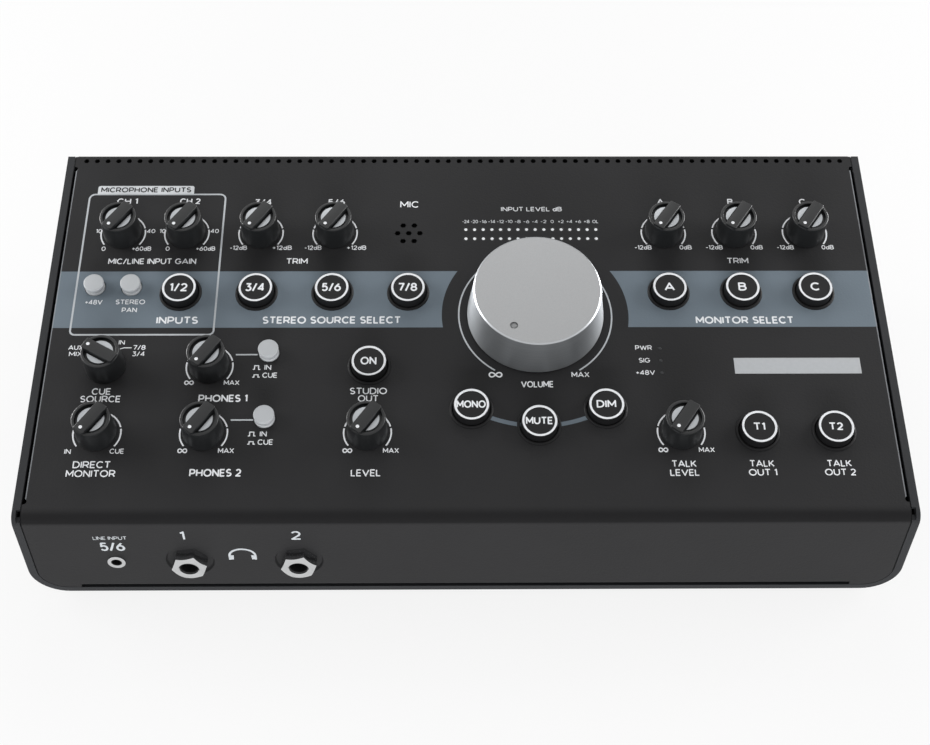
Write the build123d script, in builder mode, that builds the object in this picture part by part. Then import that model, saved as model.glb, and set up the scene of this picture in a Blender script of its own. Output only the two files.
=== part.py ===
"""Desktop studio monitor controller: a wedge-shaped steel housing with a sloping control panel.

Frame: +X to the right, +Y to the rear, +Z up, millimetres. The origin lies on the surface the
feet rest on, at the middle of the object's box. Controls are placed on the panel by their
distance to the right of the centre line and their distance up the slope from the front edge.
"""

from build123d import *

import os
from math import cos, radians, sin, tan

os.makedirs("parts", exist_ok=True)

# ---------------------------------------------------------------- housing
WIDTH = 345.0
PANEL_LENGTH = 173.1  # up the slope, from the front edge to the rear edge
PANEL_SLOPE = 12.5  # degrees
FRONT_HEIGHT = 46.8  # of the front face, without the feet
FEET_HEIGHT = 3.0
TRAY_WALL = 1.6
TRAY_CORNER_RADIUS = 14.0  # long lower edges, outside
LIP_WIDTH = 3.1  # folded edge that frames the cover, seen from above
LIP_BOTTOM = 2.6
COVER_THICKNESS = 1.2
COVER_GAP = 0.25  # seam between the cover and the lip
CUT_MARGIN = 1.0  # that a cutting shape runs past what it cuts
FRONT_BEND_RADIUS = 4.5
SHARP_BEND_RADIUS = 1.6
SLOT_WIDTH = 1.0  # open slot beside each folded flange
SLOT_FRONT = 8.0  # from the front edge to the side slots
SLOT_REAR = 6.8  # from the rear edge to the side slots
SIDE_FLANGE_DEPTH = 9.0
RELIEF_RADIUS = 1.2
FRONT_SLOT_HALF = 153.5
RETURN_FLANGE = 12.0
REAR_FLANGE = 11.0
NOTCH_LENGTH = 4.6  # gap between the upper and the front lip at each front corner
LIP_PLAY = 0.3  # that the notch is cut deeper than the wall
VENT_COUNT = 72
VENT_PITCH = 4.625
VENT_RADIUS = 1.2
VENT_INSET = 1.74  # from the rear bend to the vents' centres
SMALL_SIDES = 6  # of the small repeated holes
HIDDEN_SIDES = 8  # of holes and bushes that knobs and nuts cover
BORE_SIDES = 12  # of the plugs' bores and the bushes of the front jacks
RING_SIDES = 16  # of the bezels and their holes

# ---------------------------------------------------------------- control places on the panel
ROW_FRONT, ROW_MIDDLE, ROW_BUTTONS, ROW_TOP = 37.2, 67.2, 102.2, 132.2
COLUMN_CUE = -144.2
COLUMN_PHONES = -102.7
COLUMN_STUDIO = -38.8
SOURCE_PITCH = 31.25
COLUMN_GAIN_2 = -117.4
MONITOR_PITCH = 30.0
COLUMN_A = 84.0
VOLUME_X, VOLUME_V = 28.45, 91.5
TALK_BUTTON_RADIUS = 51.5  # circle of the mono, mute and dim buttons round the volume knob
TALK_BUTTON_ANGLE = 31.0

# ---------------------------------------------------------------- small knob and potentiometer
KNOB_BASE_RADIUS = 8.05
KNOB_TOP_RADIUS = 7.5
KNOB_HEIGHT = 12.3
KNOB_CLEARANCE = 0.4  # above the panel
KNOB_RIM = 1.2
KNOB_RECESS = 1.5
GRIP_WIDTH = 4.8
GRIP_PROUD = 1.2
GRIP_REACH = 7.2
GRIP_CORNER = 0.6
INLAY_THICKNESS = 0.7
INLAY_GAP = 0.6  # beside the grip bar
INLAY_INSET = 1.1  # inside the rim
SPINDLE_RADIUS = 3.0
RUNNING_FIT = 0.08  # radial, spindle in its bush
MIN_TURN = 145.0  # pointer between seven and eight o'clock, counted from twelve o'clock
SELECTOR_TURN = 60.0  # pointer at ten o'clock
POT_WIDTH, POT_LENGTH = 9.8, 11.4
SPINDLE_BOTTOM = -6.6
PANEL_HOLE_CLEARANCE = 0.5  # between a spindle and the panel

# ---------------------------------------------------------------- volume knob
VOLUME_BASE_RADIUS = 27.9
VOLUME_TOP_RADIUS = 25.6
VOLUME_HEIGHT = 19.0
VOLUME_CLEARANCE = 0.8
VOLUME_CHAMFER = 0.9
VOLUME_WALL = 3.2
VOLUME_ROOF = 3.0
VOLUME_BOSS_RADIUS = 8.0
VOLUME_BOSS_BOTTOM = 1.8
VOLUME_SPINDLE_SEAT = 13.0
VOLUME_TURN = 150.0  # dimple at seven o'clock
VOLUME_POT_WIDTH = 17.0

# ---------------------------------------------------------------- buttons
CAP_RADIUS = 7.3
CAP_TOP_RADIUS = 7.05
CAP_HEIGHT = 4.5
CAP_CLIP, CAP_CLIP_WIDTH, CAP_CLIP_THICKNESS = 0.6, 3.0, 0.9
CAP_TRAVEL = 1.2
SLIDE_GAP = 0.3  # round a sliding cap
BEZEL_WALL = 0.9
BEZEL_HEIGHT = 0.7
BEZEL_DEPTH = 3.4
STEM_WIDTH = 3.2
STEM_INSERTION = 0.6  # of a stem in its switch at rest
STEM_GAP = 0.2
SWITCH_WIDTH = 6.2
SWITCH_HEIGHT = 3.0
LATCH_CAP_RADIUS = 4.1
LATCH_CAP_HEIGHT = 3.9
LATCH_NECK_RADIUS = 3.4
LATCH_NECK_HEIGHT = 2.6  # to the underside of the cap
LATCH_COLLAR_RADIUS = 4.05
LATCH_COLLAR_HEIGHT = 1.2
LATCH_COLLAR_DEPTH = 1.0
LATCH_TRAVEL = 2.2
LATCH_WIDTH = 7.0
LATCH_HEIGHT = 5.6

# ---------------------------------------------------------------- lamps and microphone
METER_X, METER_V, METER_WIDTH, METER_LENGTH = 27.95, 131.65, 58.8, 9.4
LAMP_RADIUS = 0.75
LAMP_GAP = 0.1
STATUS_X, STATUS_ROWS = 78.4, (64.0, 69.7, 75.4)
STATUS_BAR_WIDTH = 4.0
MIC_X, MIC_PITCH, MIC_ROW_PITCH, MIC_HOLE_RADIUS = -23.8, 4.7, 4.0, 1.3
MIC_CAN_RADIUS, MIC_CAN_HEIGHT, MIC_BOOT_WALL = 6.4, 3.2, 1.4

# ---------------------------------------------------------------- boards
BOARD_THICKNESS = 1.6
BOARD_DEPTH = 10.0  # panel face to the upper side of the control board
BOARD_CORNER = 2.0
BOARD_MARGIN_X, BOARD_MARGIN_FRONT, BOARD_MARGIN_REAR = 14.0, 12.0, 16.0
STANDOFF_RADIUS = 2.6
STANDOFF_X, STANDOFF_LOW, STANDOFF_HIGH = 150.0, 20.0, 148.0
STANDOFF_MID = 5.0
IO_BOARD_RAISE = 6.0  # above the tray's floor
IO_BOARD_LENGTH = 62.0
IO_BOARD_MARGIN = 5.0
IO_STANDOFF_COLUMNS = (-155.0, 8.0, 155.0)
IO_STANDOFF_FRONT, IO_STANDOFF_REAR = 5.0, 12.0  # from the board's edges
PHONES_BOARD_RAISE = 9.4
PHONES_BOARD_LENGTH = 34.0
PHONES_BOARD_MARGIN = 14.0  # beyond the outer jacks' centres
PHONES_BOARD_GAP = 3.0  # behind the dishes
PHONES_STANDOFF_EDGE = 4.0
PHONES_STANDOFF_MID = (10.0, 13.0)  # right of the board's middle, behind its front edge

# ---------------------------------------------------------------- sockets
JACK_X1, JACK_PITCH, JACK_HEIGHT = -108.1, 42.5, 20.6  # height above the tray's underside
MINI_X = -136.7
PLUG_RADIUS = 3.3
JACK_BUSH_RADIUS = 4.5
JACK_BUSH_REACH = 4.0  # in front of the face
JACK_BODY_WIDTH, JACK_BODY_DEPTH, JACK_BODY_HEIGHT = 15.0, 25.0, 14.0
JACK_LEAD_IN = 0.7
DISH_RADIUS, DISH_DEPTH, DISH_TAPER = 9.5, 1.0, 30.0
NUT_ACROSS_FLATS = 12.3
NUT_PROUD = 4.3  # beyond the front face
MINI_PLUG_RADIUS = 1.8
MINI_BUSH_RADIUS = 3.0
MINI_RING_RADIUS, MINI_RING_THICKNESS = 3.55, 0.8
MINI_BODY_WIDTH, MINI_BODY_DEPTH, MINI_BODY_TOP = 8.0, 14.0, 4.0
LINE_COLUMNS = (-72.0, 54.0, 84.0, 114.0, 144.0)
LINE_LOWER, LINE_TIER = 8.0, 20.0  # axis above the board, and from the lower to the upper axis
LINE_WIDTH, LINE_DEPTH = 15.0, 28.0
REAR_BUSH_REACH = 3.4
COMBO_COLUMNS = (-138.0, -104.0)
COMBO_AXIS, COMBO_RADIUS, COMBO_DEPTH = 16.0, 11.8, 24.0
COMBO_FLANGE_WIDTH, COMBO_FLANGE_HEIGHT, COMBO_FLANGE_THICKNESS = 26.0, 31.0, 1.6
COMBO_PLUG_RADIUS, COMBO_PIN_RADIUS, COMBO_PIN_CIRCLE = 4.9, 1.6, 8.2
USB_X, USB_WIDTH, USB_HEIGHT, USB_DEPTH = -36.0, 12.0, 10.8, 16.0
USB_MOUTH_WIDTH, USB_MOUTH_HEIGHT, USB_MOUTH_DEPTH, USB_MOUTH_CHAMFER = 8.5, 7.8, 9.6, 1.5
USB_TONGUE_WIDTH, USB_TONGUE_HEIGHT = 5.6, 3.2
INLET_X, INLET_WIDTH, INLET_HEIGHT, INLET_DEPTH = -8.0, 9.0, 11.0, 14.0
INLET_HOLE_RADIUS, INLET_HOLE_DEPTH, INLET_PIN_RADIUS = 3.1, 9.8, 1.0
POWER_X, POWER_WIDTH, POWER_HEIGHT, POWER_DEPTH = 20.0, 13.0, 19.4, 15.0
POWER_BEZEL, POWER_BEZEL_THICKNESS, POWER_BEZEL_CORNER = 1.4, 1.2, 1.0
ROCKER_WIDTH, ROCKER_HALF, ROCKER_REACH, ROCKER_HOLLOW = 9.6, 6.6, 5.0, 1.2
ROCKER_TILT = 9.0  # either way from the middle
ROCKER_WELL_DEPTH, ROCKER_KNEE = 10.5, 1.5
ROCKER_PIVOT_RADIUS, ROCKER_PIVOT_DEPTH, ROCKER_END_GAP = 1.2, 3.0, 1.0
SOCKET_GAP = 0.2  # between a socket and its cut-out

# ---------------------------------------------------------------- feet and cable
FOOT_RADIUS, FOOT_TAPER, FOOT_X, FOOT_Y = 7.0, 8.0, 150.0, 62.0
RIBBON_WIDTH, RIBBON_THICKNESS, RIBBON_X = 26.0, 0.8, 30.0
HEADER_HEIGHT, HEADER_DEPTH, HEADER_INSET = 5.0, 5.0, 1.0

# ---------------------------------------------------------------- worked out from the sizes above
DEPTH = PANEL_LENGTH * cos(radians(PANEL_SLOPE))
RISE = tan(radians(PANEL_SLOPE))
FRONT_REACH = NUT_PROUD
REAR_REACH = REAR_BUSH_REACH - TRAY_WALL
Y_FRONT = (FRONT_REACH - DEPTH - REAR_REACH) / 2
Y_REAR = Y_FRONT + DEPTH
Y_REAR_PANEL = Y_REAR - TRAY_WALL  # outer face of the rear panel
Z_TRAY = FEET_HEIGHT
Z_FLOOR = Z_TRAY + TRAY_WALL
Z_FRONT_EDGE = Z_TRAY + FRONT_HEIGHT
Z_LIP = Z_TRAY + LIP_BOTTOM
Z_RETURN = Z_LIP + SLOT_WIDTH
Z_IO_BOARD = Z_FLOOR + IO_BOARD_RAISE + BOARD_THICKNESS  # upper side
Z_PHONES_BOARD = Z_FLOOR + PHONES_BOARD_RAISE + BOARD_THICKNESS
Z_JACK = Z_TRAY + JACK_HEIGHT
COVER_HALF = WIDTH / 2 - LIP_WIDTH - COVER_GAP
FLANGE_HALF = COVER_HALF - SLOT_WIDTH
SWITCH_DEPTH = BOARD_DEPTH - SWITCH_HEIGHT
LATCH_DEPTH = BOARD_DEPTH - LATCH_HEIGHT
BEZEL_BORE = CAP_RADIUS + SLIDE_GAP
BEZEL_RADIUS = BEZEL_BORE + BEZEL_WALL

PANEL = Plane(
    origin=(0, Y_FRONT, Z_FRONT_EDGE),
    x_dir=(1, 0, 0),
    z_dir=(0, -sin(radians(PANEL_SLOPE)), cos(radians(PANEL_SLOPE))),
)
FRONT = Plane(origin=(0, Y_FRONT, 0), x_dir=(1, 0, 0), z_dir=(0, -1, 0))
REAR = Plane(origin=(0, Y_REAR_PANEL, 0), x_dir=(-1, 0, 0), z_dir=(0, 1, 0))

COLUMN_SOURCE = [COLUMN_GAIN_2 + SOURCE_PITCH * step for step in range(4)]
COLUMN_MONITOR = [COLUMN_A + MONITOR_PITCH * step for step in range(3)]

KNOBS = {
    "gain_1_knob": (COLUMN_CUE, ROW_TOP, MIN_TURN),
    "gain_2_knob": (COLUMN_SOURCE[0], ROW_TOP, MIN_TURN),
    "trim_34_knob": (COLUMN_SOURCE[1], ROW_TOP, MIN_TURN),
    "trim_56_knob": (COLUMN_SOURCE[2], ROW_TOP, MIN_TURN),
    "trim_a_knob": (COLUMN_MONITOR[0], ROW_TOP, MIN_TURN),
    "trim_b_knob": (COLUMN_MONITOR[1], ROW_TOP, MIN_TURN),
    "trim_c_knob": (COLUMN_MONITOR[2], ROW_TOP, MIN_TURN),
    "cue_source_knob": (COLUMN_CUE, ROW_MIDDLE, SELECTOR_TURN),
    "direct_monitor_knob": (COLUMN_CUE, ROW_FRONT, MIN_TURN),
    "phones_1_knob": (COLUMN_PHONES, ROW_MIDDLE, MIN_TURN),
    "phones_2_knob": (COLUMN_PHONES, ROW_FRONT, MIN_TURN),
    "studio_level_knob": (COLUMN_STUDIO, ROW_FRONT, MIN_TURN),
    "talkback_level_knob": (COLUMN_MONITOR[0], ROW_FRONT, MIN_TURN),
}
ARC_X = TALK_BUTTON_RADIUS * sin(radians(TALK_BUTTON_ANGLE))
ARC_V = VOLUME_V - TALK_BUTTON_RADIUS * cos(radians(TALK_BUTTON_ANGLE))
ROUND_BUTTONS = {
    "source_12_button": (COLUMN_SOURCE[0], ROW_BUTTONS),
    "source_34_button": (COLUMN_SOURCE[1], ROW_BUTTONS),
    "source_56_button": (COLUMN_SOURCE[2], ROW_BUTTONS),
    "source_78_button": (COLUMN_SOURCE[3], ROW_BUTTONS),
    "monitor_a_button": (COLUMN_MONITOR[0], ROW_BUTTONS),
    "monitor_b_button": (COLUMN_MONITOR[1], ROW_BUTTONS),
    "monitor_c_button": (COLUMN_MONITOR[2], ROW_BUTTONS),
    "studio_on_button": (COLUMN_STUDIO, ROW_MIDDLE),
    "mono_button": (VOLUME_X - ARC_X, ARC_V),
    "mute_button": (VOLUME_X, VOLUME_V - TALK_BUTTON_RADIUS),
    "dim_button": (VOLUME_X + ARC_X, ARC_V),
    "talk_2track_button": (COLUMN_MONITOR[1], ROW_FRONT),
    "talk_cue_button": (COLUMN_MONITOR[2], ROW_FRONT),
}
LATCH_BUTTONS = {
    "phantom_button": (-152.8, 105.1),
    "stereo_pan_button": (-137.8, 105.1),
    "phones_1_source_button": (-79.3, 73.5),
    "phones_2_source_button": (-79.3, 43.5),
}


def seat(x, v, turn=0.0):
    """Plane on the panel's face at a control's axis, turned about that axis."""
    along = PANEL.x_dir * cos(radians(turn)) + PANEL.y_dir * sin(radians(turn))
    return Plane(PANEL.from_local_coords(Vector(x, v, 0)), x_dir=along, z_dir=PANEL.z_dir)


def upright(place):
    """Plane through a control's axis: its x is the radius, its y the height above the panel."""
    return Plane(place.origin, x_dir=place.x_dir, z_dir=-place.y_dir)


def placed(master, place):
    """A copy of a part that was modelled on the XY plane, standing on the given plane."""
    with BuildPart() as copy_of_master:
        with Locations(place):
            add(master)
    return copy_of_master.part


def save(name, *pieces):
    """Write one node. Several pieces stay separate solids."""
    node = pieces[0] if len(pieces) == 1 else Compound(children=list(pieces))
    node.label = name
    export_step(node, f"parts/{name}.step")


def seats(places):
    return [seat(place[0], place[1]) for place in places]


# ---------------------------------------------------------------- base tray
def tray_prism(inset, front, rear, bottom):
    """Prism with the housing's rounded U section, drawn in from its outside by inset."""
    half = WIDTH / 2 - inset
    top = Z_FRONT_EDGE + 2 * DEPTH * RISE
    with BuildPart() as prism:
        with BuildSketch(Plane.XZ.offset(-front)) as section:
            with Locations((0, (bottom + top) / 2)):
                Rectangle(2 * half, top - bottom)
            fillet(section.vertices().group_by(Axis.Z)[0], TRAY_CORNER_RADIUS - inset)
        extrude(amount=front - rear)
    return prism.part


def housing_body(inset, bottom, front, rear, bend):
    """The housing's whole space under a plane that lies inset below the panel."""
    with BuildPart() as body:
        add(tray_prism(inset, front, rear, bottom))
        split(bisect_by=PANEL.offset(-inset), keep=Keep.BOTTOM)
        fillet(body.edges().filter_by(Axis.X).group_by(Axis.Y)[0].sort_by(Axis.Z)[-1], bend)
    return body.part


tray_outside = housing_body(0, Z_TRAY, Y_FRONT, Y_REAR, FRONT_BEND_RADIUS)
tray_inside = housing_body(
    TRAY_WALL, Z_FLOOR, Y_FRONT + TRAY_WALL, Y_REAR - TRAY_WALL, FRONT_BEND_RADIUS - TRAY_WALL
)
tray_mouth = tray_prism(LIP_WIDTH, Y_FRONT - CUT_MARGIN, Y_REAR + CUT_MARGIN, Z_LIP)
FRONT_PADS_X = (-120.0, 0.0, 120.0)  # raised pads that the cover's front flange is screwed to
Y_FRONT_PADS = Y_FRONT + TRAY_WALL + RETURN_FLANGE / 2
PAD_RADIUS = 5.0

with BuildPart() as base_tray:
    add(tray_outside)
    add(tray_inside, mode=Mode.SUBTRACT)
    add(tray_mouth, mode=Mode.SUBTRACT)
    with BuildSketch(PANEL) as corner_notch:  # the lips stop short of each front corner
        with Locations((0, (NOTCH_LENGTH - CUT_MARGIN) / 2)):
            Rectangle(WIDTH - 2 * TRAY_WALL, NOTCH_LENGTH + CUT_MARGIN)
    extrude(amount=-(TRAY_WALL + LIP_PLAY), both=True, mode=Mode.SUBTRACT)
    with BuildSketch(Plane.XY.offset(Z_FLOOR)) as front_pads:
        with Locations(*[(x, Y_FRONT_PADS) for x in FRONT_PADS_X]):
            Circle(PAD_RADIUS)
    extrude(amount=Z_RETURN - Z_FLOOR)
save("base_tray", base_tray.part)

# ---------------------------------------------------------------- top cover
cover_outline = [
    (Y_REAR + COVER_THICKNESS, Z_FRONT_EDGE + (DEPTH + COVER_THICKNESS) * RISE - REAR_FLANGE),
    (Y_REAR + COVER_THICKNESS, Z_FRONT_EDGE + (DEPTH + COVER_THICKNESS) * RISE),
    (Y_FRONT, Z_FRONT_EDGE),
    (Y_FRONT, Z_RETURN),
    (Y_FRONT + RETURN_FLANGE, Z_RETURN),
]
V_REAR_BEND = (DEPTH + COVER_THICKNESS) / cos(radians(PANEL_SLOPE)) - SHARP_BEND_RADIUS * tan(
    radians(90 + PANEL_SLOPE) / 2
)
Y_COVER_END = Y_REAR + COVER_THICKNESS + CUT_MARGIN
V_SLOT_REAR = PANEL_LENGTH - SLOT_REAR
SLOT_LENGTH = V_SLOT_REAR - SLOT_FRONT
V_SLOT_MIDDLE = (V_SLOT_REAR + SLOT_FRONT) / 2

with BuildPart() as top_cover:
    with BuildSketch(Plane.YZ.offset(-COVER_HALF)) as folded:
        with BuildLine() as sheet_edge:
            FilletPolyline(
                *cover_outline, radius=[SHARP_BEND_RADIUS, FRONT_BEND_RADIUS, SHARP_BEND_RADIUS]
            )
            offset(amount=COVER_THICKNESS, side=Side.LEFT)
        make_face()
    extrude(amount=2 * COVER_HALF)
    # the rear and return flanges are narrower than the panel
    with BuildSketch(Plane.XY) as flange_ends:
        for end in (-1, 1):
            with Locations((end * COVER_HALF, Y_REAR + COVER_THICKNESS)):
                Rectangle(2 * (COVER_HALF - FLANGE_HALF), 2 * COVER_THICKNESS)
    extrude(amount=Z_FRONT_EDGE * 3, mode=Mode.SUBTRACT)
    with BuildSketch(FRONT) as front_ends:
        for end in (-1, 1):
            with Locations((end * (COVER_HALF + FRONT_SLOT_HALF) / 2, Z_RETURN)):
                Rectangle(COVER_HALF - FRONT_SLOT_HALF, 4 * SHARP_BEND_RADIUS)
    extrude(amount=-RETURN_FLANGE * 2, mode=Mode.SUBTRACT)
    with BuildSketch(FRONT) as front_corners:
        for end in (-1, 1):
            with Locations((end * (COVER_HALF + FRONT_SLOT_HALF) / 2, Z_RETURN + SHARP_BEND_RADIUS / 2)):
                Rectangle(COVER_HALF - FRONT_SLOT_HALF, 3 * SHARP_BEND_RADIUS + SLOT_WIDTH)
    extrude(amount=-COVER_THICKNESS)
    add(
        tray_prism(LIP_WIDTH + COVER_GAP, Y_FRONT - CUT_MARGIN, Y_COVER_END, Z_LIP + COVER_GAP),
        mode=Mode.INTERSECT,
    )
    # side flanges, folded down along the open slots
    with BuildSketch(PANEL) as side_slots:
        for end in (-1, 1):
            with Locations((end * (COVER_HALF + FLANGE_HALF) / 2, V_SLOT_MIDDLE)):
                Rectangle(COVER_HALF - FLANGE_HALF, SLOT_LENGTH)
            with Locations(
                (end * (COVER_HALF - SLOT_WIDTH / 2), SLOT_FRONT),
                (end * (COVER_HALF - SLOT_WIDTH / 2), V_SLOT_REAR),
            ):
                Circle(RELIEF_RADIUS)
    extrude(amount=-COVER_THICKNESS * 1.5, mode=Mode.SUBTRACT)
    with BuildSketch(PANEL) as side_flanges:
        for end in (-1, 1):
            with Locations((end * (FLANGE_HALF - COVER_THICKNESS / 2), V_SLOT_MIDDLE)):
                Rectangle(COVER_THICKNESS, SLOT_LENGTH - 2 * RELIEF_RADIUS)
    extrude(amount=-SIDE_FLANGE_DEPTH)
    # dished seats of the two headphone jacks
    with BuildSketch(FRONT.offset(-COVER_THICKNESS)) as dish_backs:
        with Locations((JACK_X1, Z_JACK), (JACK_X1 + JACK_PITCH, Z_JACK)):
            Circle(DISH_RADIUS + COVER_THICKNESS)
    extrude(amount=-DISH_DEPTH, taper=DISH_TAPER)
    with BuildSketch(FRONT) as dishes:
        with Locations((JACK_X1, Z_JACK), (JACK_X1 + JACK_PITCH, Z_JACK)):
            Circle(DISH_RADIUS)
    extrude(amount=-DISH_DEPTH, taper=DISH_TAPER, mode=Mode.SUBTRACT)
    with BuildSketch(FRONT) as jack_holes:
        with Locations((JACK_X1, Z_JACK), (JACK_X1 + JACK_PITCH, Z_JACK)):
            RegularPolygon(JACK_BUSH_RADIUS + SOCKET_GAP, BORE_SIDES)
        with Locations((MINI_X, Z_JACK)):
            RegularPolygon(MINI_BUSH_RADIUS + SOCKET_GAP, BORE_SIDES)
    extrude(amount=-(COVER_THICKNESS + DISH_DEPTH + CUT_MARGIN), mode=Mode.SUBTRACT)
    # holes of the controls
    with BuildSketch(PANEL) as control_holes:
        with Locations((VOLUME_X, VOLUME_V), *[(x, v) for x, v, turn in KNOBS.values()]):
            RegularPolygon(SPINDLE_RADIUS + PANEL_HOLE_CLEARANCE, HIDDEN_SIDES, major_radius=False)
        with Locations(*ROUND_BUTTONS.values()):
            RegularPolygon(BEZEL_RADIUS + LAMP_GAP, RING_SIDES)
        with Locations(*LATCH_BUTTONS.values()):
            Circle(LATCH_COLLAR_RADIUS + SLIDE_GAP)
        with Locations(*[(STATUS_X, v) for v in STATUS_ROWS]):
            RegularPolygon(LAMP_RADIUS + LAMP_GAP, SMALL_SIDES)
        with Locations((MIC_X, ROW_TOP)):
            with GridLocations(MIC_PITCH, 0, 3, 1):
                RegularPolygon(MIC_HOLE_RADIUS, SMALL_SIDES)
            with GridLocations(MIC_PITCH, 2 * MIC_ROW_PITCH, 2, 2):
                RegularPolygon(MIC_HOLE_RADIUS, SMALL_SIDES)
        with Locations((0, V_REAR_BEND - VENT_INSET)):
            with GridLocations(VENT_PITCH, 0, VENT_COUNT, 1):
                RegularPolygon(VENT_RADIUS, SMALL_SIDES)
    extrude(amount=-COVER_THICKNESS * 1.5, mode=Mode.SUBTRACT)
save("top_cover", top_cover.part)

# ---------------------------------------------------------------- rear panel
REAR_HALF = WIDTH / 2 - TRAY_WALL - COVER_GAP
Z_REAR_TOP = Z_FRONT_EDGE + DEPTH * RISE - TRAY_WALL / cos(radians(PANEL_SLOPE)) - COVER_GAP
Z_USB = Z_IO_BOARD + USB_HEIGHT / 2
Z_INLET = Z_IO_BOARD + INLET_HEIGHT / 2
Z_POWER = Z_IO_BOARD + POWER_HEIGHT / 2 + POWER_BEZEL
Z_COMBO = Z_IO_BOARD + COMBO_AXIS
LINE_ROWS = (Z_IO_BOARD + LINE_LOWER, Z_IO_BOARD + LINE_LOWER + LINE_TIER)


def rear_spots(columns, heights):
    """Places on the rear panel's plane, whose x runs to the left seen from the front."""
    return [(-x, z) for x in columns for z in heights]


with BuildPart() as rear_panel:
    with BuildSketch(REAR) as plate:
        with Locations((0, (Z_FLOOR + Z_REAR_TOP) / 2)):
            Rectangle(2 * REAR_HALF, Z_REAR_TOP - Z_FLOOR - 2 * COVER_GAP)
        fillet(plate.vertices().group_by(Axis.Z)[0], TRAY_CORNER_RADIUS - TRAY_WALL - COVER_GAP)
        with Locations(*rear_spots(LINE_COLUMNS, LINE_ROWS)):
            RegularPolygon(JACK_BUSH_RADIUS + SOCKET_GAP, HIDDEN_SIDES, mode=Mode.SUBTRACT)
        with Locations(*rear_spots(COMBO_COLUMNS, [Z_COMBO])):
            Circle(COMBO_RADIUS + SOCKET_GAP, mode=Mode.SUBTRACT)
        with Locations((-USB_X, Z_USB)):
            Rectangle(USB_WIDTH + 2 * SOCKET_GAP, USB_HEIGHT + 2 * SOCKET_GAP, mode=Mode.SUBTRACT)
        with Locations((-INLET_X, Z_INLET)):
            Rectangle(INLET_WIDTH + 2 * SOCKET_GAP, INLET_HEIGHT + 2 * SOCKET_GAP, mode=Mode.SUBTRACT)
        with Locations((-POWER_X, Z_POWER)):
            Rectangle(POWER_WIDTH + 2 * SOCKET_GAP, POWER_HEIGHT + 2 * SOCKET_GAP, mode=Mode.SUBTRACT)
    extrude(amount=-COVER_THICKNESS)
    with BuildSketch(Plane.XY.offset(Z_FLOOR)) as foot_flange:
        with Locations((0, Y_REAR_PANEL - RETURN_FLANGE / 2)):
            Rectangle(2 * FRONT_SLOT_HALF, RETURN_FLANGE)
    extrude(amount=COVER_THICKNESS)
save("rear_panel", rear_panel.part)


# ---------------------------------------------------------------- small knobs
def knob_moulding():
    """Tapered skirt with its spindle, and a rimmed recess with a grip bar across it."""
    floor = KNOB_HEIGHT - KNOB_RECESS
    with BuildPart() as knob:
        with BuildSketch(Plane.XZ) as half_section:
            with BuildLine() as outline:
                Polyline(
                    (0, SPINDLE_BOTTOM),
                    (SPINDLE_RADIUS, SPINDLE_BOTTOM),
                    (SPINDLE_RADIUS, KNOB_CLEARANCE),
                    (KNOB_BASE_RADIUS, KNOB_CLEARANCE),
                    (KNOB_TOP_RADIUS, KNOB_HEIGHT),
                    (KNOB_TOP_RADIUS - KNOB_RIM, KNOB_HEIGHT),
                    (KNOB_TOP_RADIUS - KNOB_RIM, floor),
                    (0, floor),
                    (0, SPINDLE_BOTTOM),
                )
            make_face()
        revolve(axis=Axis.Z)
        with BuildSketch(Plane.XY.offset(floor)) as grip:
            Rectangle(GRIP_WIDTH, 2 * GRIP_REACH)
            chamfer(grip.vertices(), GRIP_CORNER)
        extrude(amount=KNOB_RECESS + GRIP_PROUD)
    return knob.part


def knob_inlays():
    """The two silver segments that fill the recess beside the grip bar."""
    floor = KNOB_HEIGHT - KNOB_RECESS
    with BuildPart() as inlays:
        with BuildSketch(Plane.XY.offset(floor)) as segments:
            Circle(KNOB_TOP_RADIUS - KNOB_RIM - INLAY_INSET)
            Rectangle(GRIP_WIDTH + 2 * INLAY_GAP, 4 * KNOB_TOP_RADIUS, mode=Mode.SUBTRACT)
        extrude(amount=INLAY_THICKNESS)
    return inlays.part


knob_master = knob_moulding()
inlay_master = knob_inlays()
for name, (x, v, turn) in KNOBS.items():
    place = seat(x, v, turn)
    save(name, placed(knob_master, place), placed(inlay_master, place))

# ---------------------------------------------------------------- volume knob
volume_seat = seat(VOLUME_X, VOLUME_V, VOLUME_TURN)
with BuildPart() as volume_knob:
    with BuildSketch(upright(volume_seat)) as turned_half:
        with BuildLine() as turned_outline:
            Polyline(
                (0, VOLUME_HEIGHT),
                (VOLUME_TOP_RADIUS - VOLUME_CHAMFER, VOLUME_HEIGHT),
                (VOLUME_TOP_RADIUS, VOLUME_HEIGHT - VOLUME_CHAMFER),
                (VOLUME_BASE_RADIUS, VOLUME_CLEARANCE),
                (VOLUME_BASE_RADIUS - VOLUME_WALL, VOLUME_CLEARANCE),
                (VOLUME_TOP_RADIUS - VOLUME_WALL, VOLUME_HEIGHT - VOLUME_ROOF),
                (VOLUME_BOSS_RADIUS, VOLUME_HEIGHT - VOLUME_ROOF),
                (VOLUME_BOSS_RADIUS, VOLUME_BOSS_BOTTOM),
                (SPINDLE_RADIUS, VOLUME_BOSS_BOTTOM),
                (SPINDLE_RADIUS, VOLUME_SPINDLE_SEAT),
                (0, VOLUME_SPINDLE_SEAT),
                (0, VOLUME_HEIGHT),
            )
        make_face()
    revolve(axis=Axis(volume_seat.origin, volume_seat.z_dir))
save("volume_knob", volume_knob.part)
with BuildPart() as volume_spindle:
    with BuildSketch(volume_seat.offset(SPINDLE_BOTTOM)) as rod:
        Circle(SPINDLE_RADIUS)
    extrude(amount=VOLUME_SPINDLE_SEAT - SPINDLE_BOTTOM)
save("volume_spindle", volume_spindle.part)

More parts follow.
